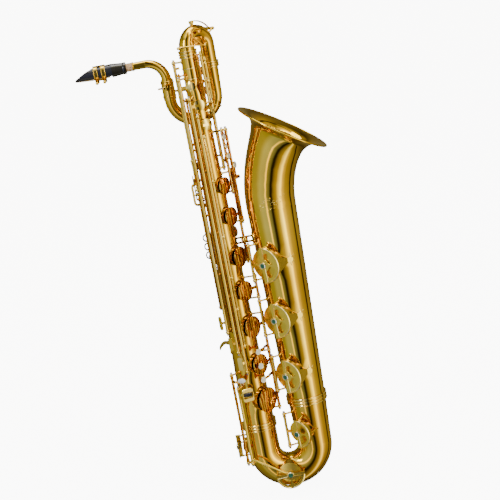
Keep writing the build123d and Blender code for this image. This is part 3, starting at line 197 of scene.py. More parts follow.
def cup_metal():
    """Key cups: spun brass whose colour is painted reflection, dark amber and bright gold streaks across each
    cup in place of the rods mirrored in it.
    """
    m = Nodes("reflection_cup_brass")
    painted_reflections = m.new("ShaderNodeTexWave", Scale=62.0, Distortion=5.0, Detail=3.0)
    painted_reflections.bands_direction = "X"
    m.join(m.place, painted_reflections.inputs["Vector"])
    # Painted reflection: the ramp turns the streaks into dark and bright bands of mirrored rods.
    tone = [
        (0.1, (0.30, 0.06, 0.002)), (0.4, (0.68, 0.22, 0.008)),
        (0.66, (0.90, 0.40, 0.02)), (0.9, (1.0, 0.72, 0.14)),
    ]
    m.join(m.ramp(painted_reflections.outputs["Fac"], tone), m.shader.inputs["Base Color"])
    m.join(m.span(m.noise(90.0, 5.0), 0.10, 0.22), m.shader.inputs["Roughness"])
    m.bump(painted_reflections.outputs["Fac"], 0.15, 0.0004)
    m.set(Metallic=1.0, Coat_Weight=0.25, Coat_Roughness=0.05)
    return m.material


def ebonite():
    """Hard rubber: near black, with a faint grain and dull finger marks."""
    m = Nodes("ebonite")
    tone = [(0.3, (0.008, 0.008, 0.009)), (0.7, (0.022, 0.021, 0.02))]
    m.join(m.ramp(m.noise(40.0), tone), m.shader.inputs["Base Color"])
    m.join(m.span(m.noise(70.0, 6.0), 0.1, 0.26), m.shader.inputs["Roughness"])
    m.bump(m.noise(900.0, 2.0), 0.05, 0.0002)
    m.set(Coat_Weight=0.3, Coat_Roughness=0.08)
    return m.material


def cork():
    """Cork: warm tan with dark pits and pale cells."""
    m = Nodes("cork")
    cells = m.new("ShaderNodeTexVoronoi", Scale=900.0)
    m.join(m.place, cells.inputs["Vector"])
    spots = m.noise(520.0, 6.0, roughness=0.7)
    colours = [(0.34, (0.20, 0.10, 0.045)), (0.46, (0.52, 0.33, 0.17)), (0.62, (0.70, 0.50, 0.30))]
    m.join(m.ramp(spots, colours), m.shader.inputs["Base Color"])
    m.bump(cells.outputs["Distance"], 0.5, 0.0006)
    m.set(Roughness=0.85)
    return m.material


def cane():
    """Reed cane: straw yellow with long fibres."""
    m = Nodes("cane")
    fibres = m.noise(260.0, 4.0, stretch=(0.05, 1.0, 1.0))
    straw = [(0.35, (0.55, 0.38, 0.15)), (0.65, (0.80, 0.64, 0.34))]
    m.join(m.ramp(fibres, straw), m.shader.inputs["Base Color"])
    m.bump(fibres, 0.3, 0.0003)
    m.set(Roughness=0.55)
    return m.material


def felt(name, dark, light):
    """Dense wool felt."""
    m = Nodes(name)
    wool = m.noise(900.0, 6.0, roughness=0.75)
    m.join(m.ramp(wool, [(0.35, dark), (0.7, light)]), m.shader.inputs["Base Color"])
    m.bump(m.noise(1600.0, 5.0), 0.7, 0.0006)
    m.set(Roughness=0.95, Sheen_Weight=0.5, Sheen_Roughness=0.4)
    return m.material


def leather():
    """Pad leather: tan, with a fine grain."""
    m = Nodes("pad_leather")
    tan = [(0.3, (0.34, 0.17, 0.07)), (0.7, (0.52, 0.30, 0.14))]
    m.join(m.ramp(m.noise(120.0, 5.0), tan), m.shader.inputs["Base Color"])
    grain = m.new("ShaderNodeTexVoronoi", Scale=1400.0)
    m.join(m.place, grain.inputs["Vector"])
    m.bump(grain.outputs["Distance"], 0.35, 0.0004)
    m.set(Roughness=0.5)
    return m.material


def mother_of_pearl():
    """Pearl shell: milky, with drifting pink and green bands."""
    m = Nodes("mother_of_pearl")
    bands = m.new("ShaderNodeTexWave", Scale=90.0, Distortion=9.0, Detail=3.0)
    m.join(m.place, bands.inputs["Vector"])
    tints = [
        (0.0, (0.80, 0.84, 0.80)), (0.4, (0.93, 0.91, 0.88)),
        (0.7, (0.90, 0.80, 0.80)), (1.0, (0.78, 0.86, 0.84)),
    ]
    m.join(m.ramp(bands.outputs["Fac"], tints), m.shader.inputs["Base Color"])
    m.join(m.span(m.noise(80.0), 0.12, 0.25), m.shader.inputs["Roughness"])
    m.set(Coat_Weight=0.7, Coat_Roughness=0.05)
    return m.material


reflection_cup_brass, black_rubber, cork_skin, reed_cane = cup_metal(), ebonite(), cork(), cane()
green_felt = felt("green_felt", (0.004, 0.06, 0.03), (0.015, 0.14, 0.07))
pad_leather, pearl = leather(), mother_of_pearl()

TUBES = ["body_tube", "bottom_bow", "upper_bow", "loop_tube", "neck_tube"]
GUARDS = [name for name in NODES if name.endswith("_guard")]
KEYS = [name for name in NODES if name.endswith("_key")]
PLAIN = {
    "bell": bell_brass,
    "strap_ring": silver,
    "hinge_rods": key_shine,
    "pivot_screws": steel,
    "guard_screws": key_brass,
    "mouthpiece": black_rubber,
    "reed": reed_cane,
    "neck_cork": cork_skin,
    "thumb_rest": black_rubber,
    "thumb_hook": guard_brass,
    "posts": key_shine,
    "low_c_roller": black_rubber,
}
PLAIN.update({name: brass for name in TUBES})
PLAIN.update({name: guard_brass for name in GUARDS})
# Keys whose cups carry painted reflection streaks.
REFLECTION_CUP_KEYS = ["d_key", "e_key", "f_key", "f_sharp_key", "g_key", "a_key", "b_key", "low_eflat_key"]
WIDE_CUPS = ["low_a_key", "low_bflat_key", "low_b_key", "low_csharp_key", "low_c_key"]


def paint(node, *materials):
    """Gives a node's object these materials; every face takes the first."""
    slots = node.data.materials
    slots.clear()
    for material in materials:
        slots.append(material)
    for face in node.data.polygons:
        face.material_index = 0


def key_metal(name):
    """The finish of a key: painted reflection streaks in amber and gold on the stack, satin on the wide cups,
    polished elsewhere.
    """
    if name in REFLECTION_CUP_KEYS:
        return reflection_cup_brass
    return guard_brass if name in WIDE_CUPS else key_shine


def even_out(node, from_height):
    """Joins the patches of the bell's bend and flare so that light runs over them without steps."""
    group = node.vertex_groups.new(name="bend")
    group.add([v.index for v in node.data.vertices if v.co.z > from_height], 1.0, "REPLACE")
    join = node.modifiers.new("join", "WELD")
    join.merge_threshold = 0.00002
    join.vertex_group = group.name
    light = node.modifiers.new("light", "WEIGHTED_NORMAL")
    light.weight = 60
    light.vertex_group = group.name


SMOOTH_FROM_Z = BELL_BEND_Z - 4.0
even_out(NODES["bell"], at(0, 0, SMOOTH_FROM_Z).z)

RIM = at(
    BELL_X + BELL_BEND_R * (1 - math.cos(BELL_TILT)) + FLARE * math.sin(BELL_TILT),
    0.0,
    BELL_BEND_Z + BELL_BEND_R * math.sin(BELL_TILT) + FLARE * math.cos(BELL_TILT),
)
RIM_WAY = Vector((math.sin(BELL_TILT), 0.0, math.cos(BELL_TILT)))
# How far inside the rim the bell's brass turns rougher and is painted dark as shade.
UNBUFFED_SHADE_DEPTH = 0.016


def paint_bell(node):
    """The bell's inside, past the flare, takes a rougher unbuffed brass that is also painted dark as shade in
    the throat.
    """
    paint(node, bell_brass, shaded_throat_brass)
    foot, bend = at(BELL_X, 0, 0), at(BELL_X, 0, BELL_BEND_Z)
    for face in node.data.polygons:
        middle = face.center
        if middle.z < bend.z:
            axis_point = Vector((foot.x, 0, middle.z))
        else:
            turn = min(math.atan2(middle.z - bend.z, BELL_BEND_R / 1000 - (middle.x - bend.x)), BELL_TILT)
            reach = BELL_BEND_R / 1000
            axis_point = Vector((bend.x + reach * (1 - math.cos(turn)), 0, bend.z + reach * math.sin(turn)))
        back = (RIM - middle).dot(RIM_WAY)
        inward = (axis_point - middle).dot(face.normal) > 0
        if inward and back > UNBUFFED_SHADE_DEPTH:
            face.material_index = 1


for name, node in NODES.items():
    if name in KEYS:
        paint(node, key_metal(name))
    elif name == "bell":
        paint_bell(node)
    else:
        paint(node, PLAIN.get(name, key_brass))


# ======================================================================================================
# Small fittings that ride on the CAD bodies
# ======================================================================================================
def outward(azimuth):
    """Unit vector at an azimuth round a tube: 0 looks to -Y, 90 to +X."""
    a = math.radians(azimuth)
    return Vector((math.sin(a), -math.cos(a), 0.0))


def sideways(azimuth):
    """Unit vector a quarter turn on from outward()."""
    a = math.radians(azimuth)
    return Vector((math.cos(a), math.sin(a), 0.0))


def piece(name, mesh_maker, material, body, smooth=True):
    """Makes an object from a bmesh that mesh_maker fills, paints it and lets it ride on a body."""
    bm = bmesh.new()
    mesh_maker(bm)
    bmesh.ops.recalc_face_normals(bm, faces=bm.faces)
    mesh = bpy.data.meshes.new(name)
    bm.to_mesh(mesh)
    bm.free()
    for face in mesh.polygons:
        face.use_smooth = smooth
    mesh.materials.append(material)
    thing = bpy.data.objects.new(name, mesh)
    bpy.context.collection.objects.link(thing)
    if smooth:
        crease = thing.modifiers.new("crease", "EDGE_SPLIT")
        crease.split_angle = CREASE_ANGLE
    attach(thing, body)
    return thing


def sweep(bm, points, radii, sides=10, closed=False):
    """A round bar of changing radius through points, with rounded-off ends."""
    points = [Vector(p) for p in points]
    count = len(points)
    rings = []
    side = None
    for i, point in enumerate(points):
        before = points[i - 1] if i or closed else point
        after = points[(i + 1) % count] if i < count - 1 or closed else point
        along = (after - before).normalized()
        if side is None:
            side = along.orthogonal().normalized()
        side = (side - along * side.dot(along)).normalized()
        other = along.cross(side)
        radius = radii[i] if isinstance(radii, (list, tuple)) else radii
        turns = [2 * math.pi * k / sides for k in range(sides)]
        spots = [point + (side * math.cos(t) + other * math.sin(t)) * radius for t in turns]
        rings.append([bm.verts.new(spot) for spot in spots])
    last = count if closed else count - 1
    for i in range(last):
        a, b = rings[i], rings[(i + 1) % count]
        for k in range(sides):
            bm.faces.new((a[k], a[(k + 1) % sides], b[(k + 1) % sides], b[k]))
    if not closed:
        bm.faces.new(rings[0][::-1])
        bm.faces.new(rings[-1])


def close_rings(bm, rings, sides):
    """Faces between neighbouring rings of points; a ring of one point is a tip."""
    for a, b in zip(rings, rings[1:]):
        for k in range(sides):
            n = (k + 1) % sides
            if len(a) == 1:
                bm.faces.new((a[0], b[k], b[n]))
            elif len(b) == 1:
                bm.faces.new((a[k], b[0], a[n]))
            else:
                bm.faces.new((a[k], b[k], b[n], a[n]))


def lathe(bm, origin, axis, profile, sides=32):
    """A solid of revolution: profile is (radius, height) pairs from the axis out and back to it."""
    origin, axis = Vector(origin), Vector(axis).normalized()
    side = axis.orthogonal().normalized()
    other = axis.cross(side)
    rings = []
    for radius, height in profile:
        if radius < 1e-6:
            rings.append([bm.verts.new(origin + axis * height)])
            continue
        centre = origin + axis * height
        turns = [2 * math.pi * k / sides for k in range(sides)]
        spots = [centre + (side * math.cos(t) + other * math.sin(t)) * radius for t in turns]
        rings.append([bm.verts.new(spot) for spot in spots])
    close_rings(bm, rings, sides)


def body_r(z):
    """Outside radius of the main tube in millimetres at a height of the drawing frame."""
    return BODY_FOOT_R + (z - BODY_FOOT_Z) / (BODY_TOP_Z - BODY_FOOT_Z) * (BODY_TOP_R - BODY_FOOT_R)


def bell_r(z):
    """Outside radius of the bell's straight part in millimetres."""
    return BELL_FOOT_R + (z - BELL_FOOT_Z) / (BELL_BEND_Z - BELL_FOOT_Z) * (BELL_SIDE_R - BELL_FOOT_R)


# name: axis x, azimuth, height, rim distance, guard radius, direction of the half moon, bearing of its web
GUARD_PLACES = {
    "low_a": (BELL_X, -35, 529.0, bell_r(529.0) + HOLE_RISE, 39.0, 0, 20),
    "low_bflat": (BELL_X, -35, 405.5, bell_r(405.5) + HOLE_RISE, 39.0, 0, 20),
    "low_b": (BELL_X, -35, 278.6, bell_r(278.6) + HOLE_RISE, 37.5, 0, 20),
    "low_csharp": (BELL_X, -35, 146.0, bell_r(BELL_FOOT_Z) + HOLE_RISE, 32.0, 0, None),
    "low_c": (46.0, 0, 60.0, 39.5, 31.0, -90, None),
    "low_eflat": (0.0, -90, 124.0, body_r(BODY_FOOT_Z) + HOLE_RISE, 26.0, 180, None),
}


def guard_point(place, reach, angle, lift):
    """A point over a guard: polar place in its plane, and height above its front face, in metres."""
    axis_x, azimuth, z, rim, _, _, _ = place
    a = math.radians(angle)
    n, t = outward(azimuth), sideways(azimuth)
    base = Vector((axis_x, 0, z)) + n * (rim + GUARD_TOP + lift)
    point = base + t * (reach * math.cos(a)) + Vector((0, 0, 1)) * (reach * math.sin(a))
    return at(*point)


def guard_fittings(name, place):
    """A rolled rim, a skirt and a back rail on the guard, and a silver ring with green felt in it."""
    radius, direction = place[4], place[5]
    normal = outward(place[1])
    half_width = 3.0
    lean = math.degrees(math.acos(half_width / radius))

    def rim(bm):
        turns = [direction + lean * k / 14 for k in range(-14, 15)]
        arc = [guard_point(place, radius - 1.4, t, 0.1) for t in turns]
        sweep(bm, arc, 0.0016)

    def skirt(bm):
        turns = [direction + lean * k / 16 for k in range(-16, 17)]
        profile = [(-0.5, -1.2), (0.1, -1.6), (0.1, -8.2), (-0.3, -8.6), (-0.9, -8.2), (-0.9, -1.2)]
        edges = [(radius + out, lift) for out, lift in profile]
        rings = [[bm.verts.new(guard_point(place, reach, t, lift)) for reach, lift in edges] for t in turns]
        for a, b in zip(rings, rings[1:]):
            for k in range(len(edges)):
                m = (k + 1) % len(edges)
                bm.faces.new((a[k], a[m], b[m], b[k]))
        bm.faces.new(rings[0][::-1])
        bm.faces.new(rings[-1])

    def rail(bm):
        ends = [(lean - 3, radius - 1.4), (lean - 6, radius * 0.7)]
        line = [guard_point(place, reach, direction + t, 0.1) for t, reach in ends]
        line += [guard_point(place, radius * 0.2, direction + a, 0.1) for a in range(60, 301, 20)]
        line += [guard_point(place, reach, direction - t, 0.1) for t, reach in ends[::-1]]
        sweep(bm, line, 0.0011)

    def ring(bm):
        base = guard_point(place, 0, 0, 0)
        outline = [
            (0.0046, -0.0002), (0.0062, -0.0002), (0.0062, 0.0018),
            (0.0056, 0.0026), (0.0050, 0.0026), (0.0046, 0.0018),
        ]
        lathe(bm, base, normal, outline + outline[:1])

    def felt_plug(bm):
        base = guard_point(place, 0, 0, 0)
        outline = [(0, -0.0001), (0.0048, -0.0001), (0.0048, 0.0024), (0.0042, 0.0030), (0, 0.0031)]
        lathe(bm, base, normal, outline)

    piece(name + "_guard_rim", rim, guard_shine, "body")
    piece(name + "_guard_skirt", skirt, guard_brass, "body")
    piece(name + "_guard_rail", rail, guard_shine, "body")
    piece(name + "_guard_ring", ring, silver, "body")
    plug = piece(name + "_guard_felt", felt_plug, green_felt, "body")


def star_foot(name, place):
    """The foot of a guard's web on the bell: tapering rays that hug the tube."""
    axis_x, _, z, _, _, _, bearing = place
    n, t = outward(bearing), sideways(bearing)
    skin = bell_r(z)

    def on_skin(across, up, lift):
        turn = across / skin
        direction = n * math.cos(turn) + t * math.sin(turn)
        radius = bell_r(z + up) + lift
        return at(*(Vector((axis_x, 0, z + up)) + direction * radius))

    def rays(bm):
        for k in range(9):
            a = math.radians(-80 + 20 * k)
            long = 15.0 if k % 2 == 0 else 10.0
            reaches = (4.0, long * 0.5, long * 0.8, long)
            spots = [on_skin(r * math.cos(a), r * math.sin(a), 0.35) for r in reaches]
            sweep(bm, spots, [0.0012, 0.0010, 0.0007, 0.0002], sides=8)

    piece(name + "_star", rays, guard_shine, "body")


for guard, place in GUARD_PLACES.items():
    guard_fittings(guard, place)
    if place[6] is not None:
        star_foot(guard, place)


BUMPER_DEPTH = 1.65


def bumpers(bm):
    """The felt bumpers under the guards, each with a soft rounded edge and a slightly hollow face."""
    for place in GUARD_PLACES.values():
        base = guard_point(place, 0, 0, -GUARD_THICK - BUMPER_DEPTH)
        outline = [
            (0, 0.0001), (0.0030, 0), (0.0041, 0.00012), (0.0045, 0.0005), (0.00462, 0.0010), (0.0045, 0.00162),
            (0, 0.00162),
        ]
        lathe(bm, base, outward(place[1]), outline, 28)


felts = piece("guard_bumpers", bumpers, green_felt, "body")
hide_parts("guard_felts")


# Pearl touches of each key: point under the touch, azimuth it faces, radius
PEARLS = {
    "d_key": [((19.6, -41.0, 280.0), 27, 6.2)],
    "e_key": [((19.6, -41.0, 311.0), 27, 6.2)],
    "f_key": [((19.6, -41.0, 343.0), 27, 6.2)],
    "g_key": [((47.0, -12.0, 742.0), 55, 6.2)],
    "a_key": [((38.4, -10.0, 763.0), 55, 6.2)],
    "b_key": [((37.0, -9.5, 804.0), 55, 6.2), ((38.0, -9.5, 783.5), 55, 4.4)],
}
# Pads: axis x of the hole's tube, azimuth, height, pad radius
PADS = {
    "low_a_key": (BELL_X, -35, 529.0, 33.0), "low_bflat_key": (BELL_X, -35, 405.5, 33.0),
    "low_b_key": (BELL_X, -35, 278.6, 31.5), "low_csharp_key": (BELL_X, -35, 146.0, 26.0),
    "d_key": (0, 40, 229.3, 27.5), "e_key": (0, 40, 310.5, 22.5), "f_key": (0, 40, 394.4, 24.0),
    "f_sharp_key": (0, 40, 474.7, 22.0), "g_key": (0, 48, 549.0, 21.5), "a_key": (0, 48, 637.8, 20.0),
    "b_key": (0, 48, 703.7, 18.5), "low_eflat_key": (0, -90, 124.0, 20.0), "g_sharp_key": (0, 135, 596.0, 14.0),
    "side_bflat_key": (0, 25, 838.0, 12.0), "side_c_key": (0, 8, 880.0, 11.5),
    "high_e_key": (0, -18, 920.5, 11.0), "palm_d_key": (0, 70, 862.0, 10.5),
    "palm_eflat_key": (0, 85, 905.0, 10.0), "palm_f_key": (0, 100, 945.0, 8.6),
}
STANDS_OPEN = [
    "low_a_key", "low_bflat_key", "low_b_key", "d_key", "e_key",
    "f_key", "f_sharp_key", "g_key", "a_key", "b_key",
]
JOINTS = {joint["child"]: joint for joint in frame["record"]["behaviour"]["joints"]}


def rest_turn(name):
    """The turn about its hinge that takes a key from closed to where it rests."""
    joint = JOINTS[name]
    degrees = -joint["axis"][2] * joint["range_deg"][1] if name in STANDS_OPEN else 0.0
    pivot = Vector(joint["pos_m"])
    turn = Matrix.Rotation(math.radians(degrees), 4, "Z")
    return Matrix.Translation(pivot) @ turn @ Matrix.Translation(-pivot)


def key_pearls(name, spots):
    """Pearl buttons, slightly hollow on top, each in a bright bezel."""
    def buttons(bm):
        for point, azimuth, radius in spots:
            r = radius / 1000
            outline = [
                (0, 0.0022), (r + 0.00012, 0.0022), (r + 0.00012, 0.0031),
                (r - 0.0005, 0.00365), (r * 0.6, 0.0035), (0, 0.0033),
            ]
            lathe(bm, at(*point), outward(azimuth), outline, 40)
        bmesh.ops.transform(bm, matrix=rest_turn(name), verts=bm.verts)

    def bezels(bm):
        for point, azimuth, radius in spots:
            r = radius / 1000
            outline = [
                (r + 0.0001, 0.0022), (r + 0.0013, 0.0022), (r + 0.0013, 0.0027), (r + 0.0007, 0.0032),
                (r + 0.0001, 0.0030),
            ]
            lathe(bm, at(*point), outward(azimuth), outline + outline[:1], 40)
        bmesh.ops.transform(bm, matrix=rest_turn(name), verts=bm.verts)

    piece(name + "_pearls", buttons, pearl, name)
    piece(name + "_bezels", bezels, key_shine, name)


def key_pad(name, place):
    """The leather pad's rolled edge and face, and the metal resonator in its middle."""
    axis_x, azimuth, z, radius = place
    skin = body_r(max(z, BODY_FOOT_Z)) if axis_x == 0 else bell_r(max(z, BELL_FOOT_Z))
    normal = outward(azimuth)
    base = at(*(Vector((axis_x, 0, z)) + normal * (skin + HOLE_RISE)))
    r = (radius - 1.1) / 1000

    def pad(bm):
        outline = [
            (0, 0.00018), (r * 0.5, 0.00018), (r - 0.0016, 0.00012), (r - 0.0004, 0.00018),
            (r + 0.0004, 0.0004), (r + 0.0007, 0.0008), (r + 0.0004, 0.0012), (0, 0.00126),
        ]
        lathe(bm, base, normal, outline, 56)
        bmesh.ops.transform(bm, matrix=rest_turn(name), verts=bm.verts)

    def resonator(bm):
        outline = [
            (0, -0.0009), (r * 0.14, -0.0010), (r * 0.16, -0.0006), (r * 0.36, -0.0004), (r * 0.42, 0.0),
            (r * 0.44, 0.00018), (0, 0.00018),
        ]
        lathe(bm, base, normal, outline, 40)
        bmesh.ops.transform(bm, matrix=rest_turn(name), verts=bm.verts)

    skin_piece = piece(name + "_pad", pad, pad_leather, name)
    piece(name + "_resonator", resonator, silver, name)


for name, spots in PEARLS.items():
    key_pearls(name, spots)
for name, place in PADS.items():
    key_pad(name, place)


# Long rods beside the key tubes: plan position, lowest and highest point, heights of their posts, radius
LONG_RODS = {
    "rod_front": ((-9.4, -31.0), 346, 812, (352, 470, 610, 744, 806), 2.4),
    "rod_middle": ((-21.0, -26.0), 392, 900, (398, 520, 650, 790, 894), 2.4),
    "rod_outer": ((-34.0, -14.6), 440, 690, (446, 560, 684), 2.4),
    "rod_right": ((1.6, -34.2), 352, 820, (358, 440, 510, 600, 720, 814), 2.4),
    "rod_inner": ((-26.8, -13.5), 540, 950, (546, 668, 800, 944), 1.9),
    "loop_rod_left": ((18.0, -19.5), 886, 984, (924, 975), 2.6),
    "loop_rod_middle": ((25.0, -18.0), 880, 988, (928, 981), 3.0),
    "loop_rod_right": ((32.0, -15.5), 888, 976, (924, 969), 2.6),
}
# These rods keep the polished key brass; the others are painted dark as shade.
UNSHADED_RODS = ["rod_right", "loop_rod_middle", "loop_rod_right"]


def rod_line(name, plan, low, high, stations, radius):
    """A long rod with round-headed posts that stand on the main tube."""
    x, y = plan
    away = Vector((x, y, 0)).normalized()
    thick = radius / 1000

    def rod(bm):
        heights = [low, low + 1.5, high - 1.5, high]
        sweep(bm, [at(x, y, z) for z in heights], [thick * 0.6, thick, thick, thick * 0.6], sides=16)
        for z in stations:
            collar = [(0, -3.6), (2.4, -3.4), (3.6, -2.0), (4.0, 0), (3.6, 2.0), (2.4, 3.4), (0, 3.6)]
            lathe(bm, at(x, y, z), (0, 0, 1), [(r / 1000, h / 1000) for r, h in collar], sides=16)
            skin = body_r(z)
            foot, head = at(*(away * (skin - 0.5) + Vector((0, 0, z)))), at(x, y, z)
            reach = (head - foot).length
            stem = [
                (0, 0), (0.0042, 0), (0.0042, 0.0012), (0.0026, 0.0022),
                (0.0017, 0.004), (0.0017, reach), (0, reach),
            ]
            lathe(bm, foot, away, stem, sides=16)

    # Rods outside this list take the darker brass: painted shade.
    piece(name, rod, key_shine if name in UNSHADED_RODS else shaded_rod_brass, "body")


for name, place in LONG_RODS.items():
    rod_line(name, *place)


def ring_band(name, axis_x, z, radius, bead, axis_y=0.0):
    """A soldered wire round a tube."""

    def band(bm):
        turns = [2 * math.pi * k / 72 for k in range(72)]
        spots = [at(axis_x + radius * math.cos(t), axis_y + radius * math.sin(t), z) for t in turns]
        sweep(bm, spots, bead / 1000, sides=10, closed=True)

    piece(name, band, guard_shine, "body")


for k, z in enumerate((203.0, 210.0, 217.0)):
    ring_band(f"bell_wire_{k}", BELL_X, z, 42.9, 1.7)
for k, z in enumerate((162.5, 169.0, 175.5)):
    ring_band(f"body_wire_{k}", 0.0, z, 36.0, 1.6)
for k, z in enumerate((934.2, 956.2)):
    ring_band(f"upper_wire_{k}", 0.0, z, body_r(z) + 0.2, 1.3)
for k, z in enumerate((978.6, 985.0, 991.4)):
    ring_band(f"top_wire_{k}", 0.0, z, 18.4, 1.4)
for k, z in enumerate((946.8, 952.0, 957.2)):
    ring_band(f"split_wire_{k}", LOOP_X, z, 16.9, 1.3, axis_y=LOOP_Y)


def slab(bm, origin, u, v, outer, inner, thick, bevel):
    """A flat plate with a hole: outlines in the (u, v) plane in millimetres, both with as many points."""
    origin, u, v = Vector(origin), Vector(u).normalized(), Vector(v).normalized()
    n = u.cross(v)

    def loop(outline, shift, lift):
        points = []
        for x, y in outline:
            size = math.hypot(x, y)
            grow = (size + shift) / size
            point = origin + u * (x * grow) + v * (y * grow) + n * lift
            points.append(bm.verts.new(at(*point)))
        return points

    loops = [
        loop(outer, -bevel, 0), loop(outer, 0, bevel),
        loop(outer, 0, thick - bevel), loop(outer, -bevel, thick),
        loop(inner, bevel, thick), loop(inner, 0, thick - bevel),
        loop(inner, 0, bevel), loop(inner, bevel, 0),
    ]
    count = len(outer)
    for a, b in zip(loops, loops[1:] + loops[:1]):
        for k in range(count):
            m = (k + 1) % count
            bm.faces.new((a[k], a[m], b[m], b[k]))


def rounded(width, height, radius, steps=6):
    """Outline of a rounded rectangle round the origin."""
    spots = []
    for cx, cy, start in ((1, 1, 0), (-1, 1, 90), (-1, -1, 180), (1, -1, 270)):
        for k in range(steps + 1):
            t = math.radians(start + 90 * k / steps)
            across = cx * (width / 2 - radius) + radius * math.cos(t)
            spots.append((across, cy * (height / 2 - radius) + radius * math.sin(t)))
    return spots


ROLLER = Vector(JOINTS["low_c_roller"]["pos_m"]) * 1000 + ORIGIN_MM


def low_c_touch(bm):
    """The broad bright touch that frames the low C roller."""
    corner = ROLLER + Vector((0, 2.2, -1.5))
    slab(bm, corner, sideways(15), (0, 0, 1), rounded(25, 30, 4.5), rounded(19.6, 12.4, 1.6), 4.2, 1.3)


def roller_sleeve(bm):
    """The rubber sleeve on the roller, a little fuller in the middle, with turned grooves near its ends."""
    outline = [(0, -9.0), (4.0, -9.0), (4.6, -8.4), (4.7, -7.0), (4.3, -6.6), (4.7, -6.2), (5.0, 0)]
    full = outline + [(r, -h) for r, h in outline[:-1][::-1]]
    lathe(bm, at(*ROLLER), sideways(-4.6), [(r / 1000, h / 1000) for r, h in full], 32)


def oval_pearl(bm):
    """The long pearl on the low E flat touch."""
    half_length, half_width, sides = 9.0, 5.0, 28
    steps = [(0.0, 0.0), (0.55, 0.0), (1.0, 0.0), (1.02, 0.8), (0.96, 1.8), (0.75, 2.5), (0.4, 2.9), (0.0, 3.0)]
    n, along, up = outward(-25), sideways(-25), Vector((0, 0, 1))
    base = Vector((-18.5, -47.0, 287.0)) + n * 1.4
    turns = [2 * math.pi * k / sides for k in range(sides)]
    rings = []
    for share, lift in steps:
        centre = base + n * lift
        if share == 0.0:
            rings.append([bm.verts.new(at(*centre))])
            continue
        ring = []
        for a in turns:
            spot = centre + along * (half_length * share * math.cos(a)) + up * (half_width * share * math.sin(a))
            ring.append(bm.verts.new(at(*spot)))
        rings.append(ring)
    close_rings(bm, rings, sides)


piece("low_c_touch", low_c_touch, guard_shine, "low_c_key")
piece("roller_sleeve", roller_sleeve, black_rubber, "low_c_roller")
piece("low_eflat_pearl", oval_pearl, pearl, "low_eflat_key")


def thumb_loops(bm):
    """The ring and the long loop beside the left thumb, on stems from the tube."""
    x, y = -37.0, -5.0
    turns = [2 * math.pi * k / 28 for k in range(28)]
    sweep(bm, [at(x + 5.4 + 5.6 * math.cos(t), y, 722 + 5.6 * math.sin(t)) for t in turns], 0.0023, closed=True)
    sweep(bm, [at(x + px, y, 693 + pz) for px, pz in rounded(14.6, 44.0, 6.0, 6)], 0.0027, closed=True)
    sweep(bm, [at(x - 6.6, y, 693), at(x, y, 692), at(x + 6.6, y, 693)], [0.0014, 0.0024, 0.0014])
    for z in (678.0, 706.0):
        stem = [at(x + 7.0, y, z), at(-26.0, y * 0.8, z), at(-body_r(z) + 0.8, y * 0.6, z)]
        sweep(bm, stem, [0.0014, 0.0014, 0.0022])


def ball(bm, centre, radius):
    """A round post head."""
    profile = [(radius * math.sin(t), -radius * math.cos(t)) for t in [math.pi * k / 10 for k in range(11)]]
    lathe(bm, at(*centre), (0, 0, 1), [(r / 1000, h / 1000) for r, h in profile], 20)


def linkage_bar(bm):
    """The cross bar of the octave linkage in front of the upper bow, between two post heads."""
    line = [(-17, -19.5, 1001), (0, -21, 1001), (22, -15, 1000), (38, -5, 997)]
    sweep(bm, [at(*spot) for spot in line], 0.0017, sides=12)
    ball(bm, line[0], 3.4)
    ball(bm, line[-1], 3.6)
    sweep(bm, [at(-17, -19.5, 1001), at(-9.6, -11.6, 1001)], [0.0017, 0.0026])
    sweep(bm, [at(38, -5, 997), at(39.4, 12, 998), at(39.8, 25.5, 999)], [0.0018, 0.0018, 0.0028])


def linkage_cups(bm):
    """The two small cups of the octave linkage and the bent arms that join them."""
    facing = outward(28)
    dome = [(0, 0), (8.6, 0), (8.8, 1.6), (8.0, 3.0), (4.2, 4.0), (3.4, 5.2), (1.2, 5.6), (0, 5.6)]
    lathe(bm, at(22.4, -7.4, 1008), facing, [(r / 1000, h / 1000) for r, h in dome], 32)
    lathe(bm, at(32.0, -1.6, 1027), outward(36), [(r * 0.62 / 1000, h * 0.7 / 1000) for r, h in dome], 28)
    arm = [(24.6, -12.8, 1008), (15.5, -12.5, 1018), (16.5, -9.5, 1028), (24, -6, 1034), (33.6, -4.4, 1029)]
    sweep(bm, [at(*spot) for spot in arm], [0.0022, 0.0024, 0.0020, 0.0018, 0.0022], sides=12)
    foot_right = [at(24.6, -12.8, 1008), at(30, -12.5, 1002), at(33, -8.6, 998)]
    sweep(bm, foot_right, [0.0020, 0.0018, 0.0024], sides=12)
    foot_left = [at(14, -18.5, 1000.6), at(12, -15.5, 1010), at(15.5, -12.5, 1018)]
    sweep(bm, foot_left, [0.0022, 0.0016, 0.0018], sides=12)


piece("thumb_loops", thumb_loops, key_brass, "body")
piece("linkage_bar", linkage_bar, key_shine, "body")
piece("linkage_cups", linkage_cups, warm_brass, "body")


def bell_skin(across, z, lift):
    """A point over the bell's front: distance round it, height, and lift, in millimetres of the drawing."""
    if z <= BELL_BEND_Z:
        turn, axis_point, radius = 0.0, Vector((BELL_X, 0, z)), bell_r(z)
    else:
        turn = (z - BELL_BEND_Z) / BELL_BEND_R
        axis_x = BELL_X + BELL_BEND_R * (1 - math.cos(turn))
        axis_point = Vector((axis_x, 0, BELL_BEND_Z + BELL_BEND_R * math.sin(turn)))
        back = FLARE + BELL_BEND_R * (BELL_TILT - turn)
        radius = THROAT_R + FLARE_REACH * (FLARE_SHARPNESS / (back + FLARE_SHARPNESS)) ** FLARE_POWER
    a = across / radius
    side = Vector((math.cos(turn), 0, -math.sin(turn)))
    return at(*(axis_point + (side * math.sin(a) + Vector((0, -1, 0)) * math.cos(a)) * (radius + lift)))


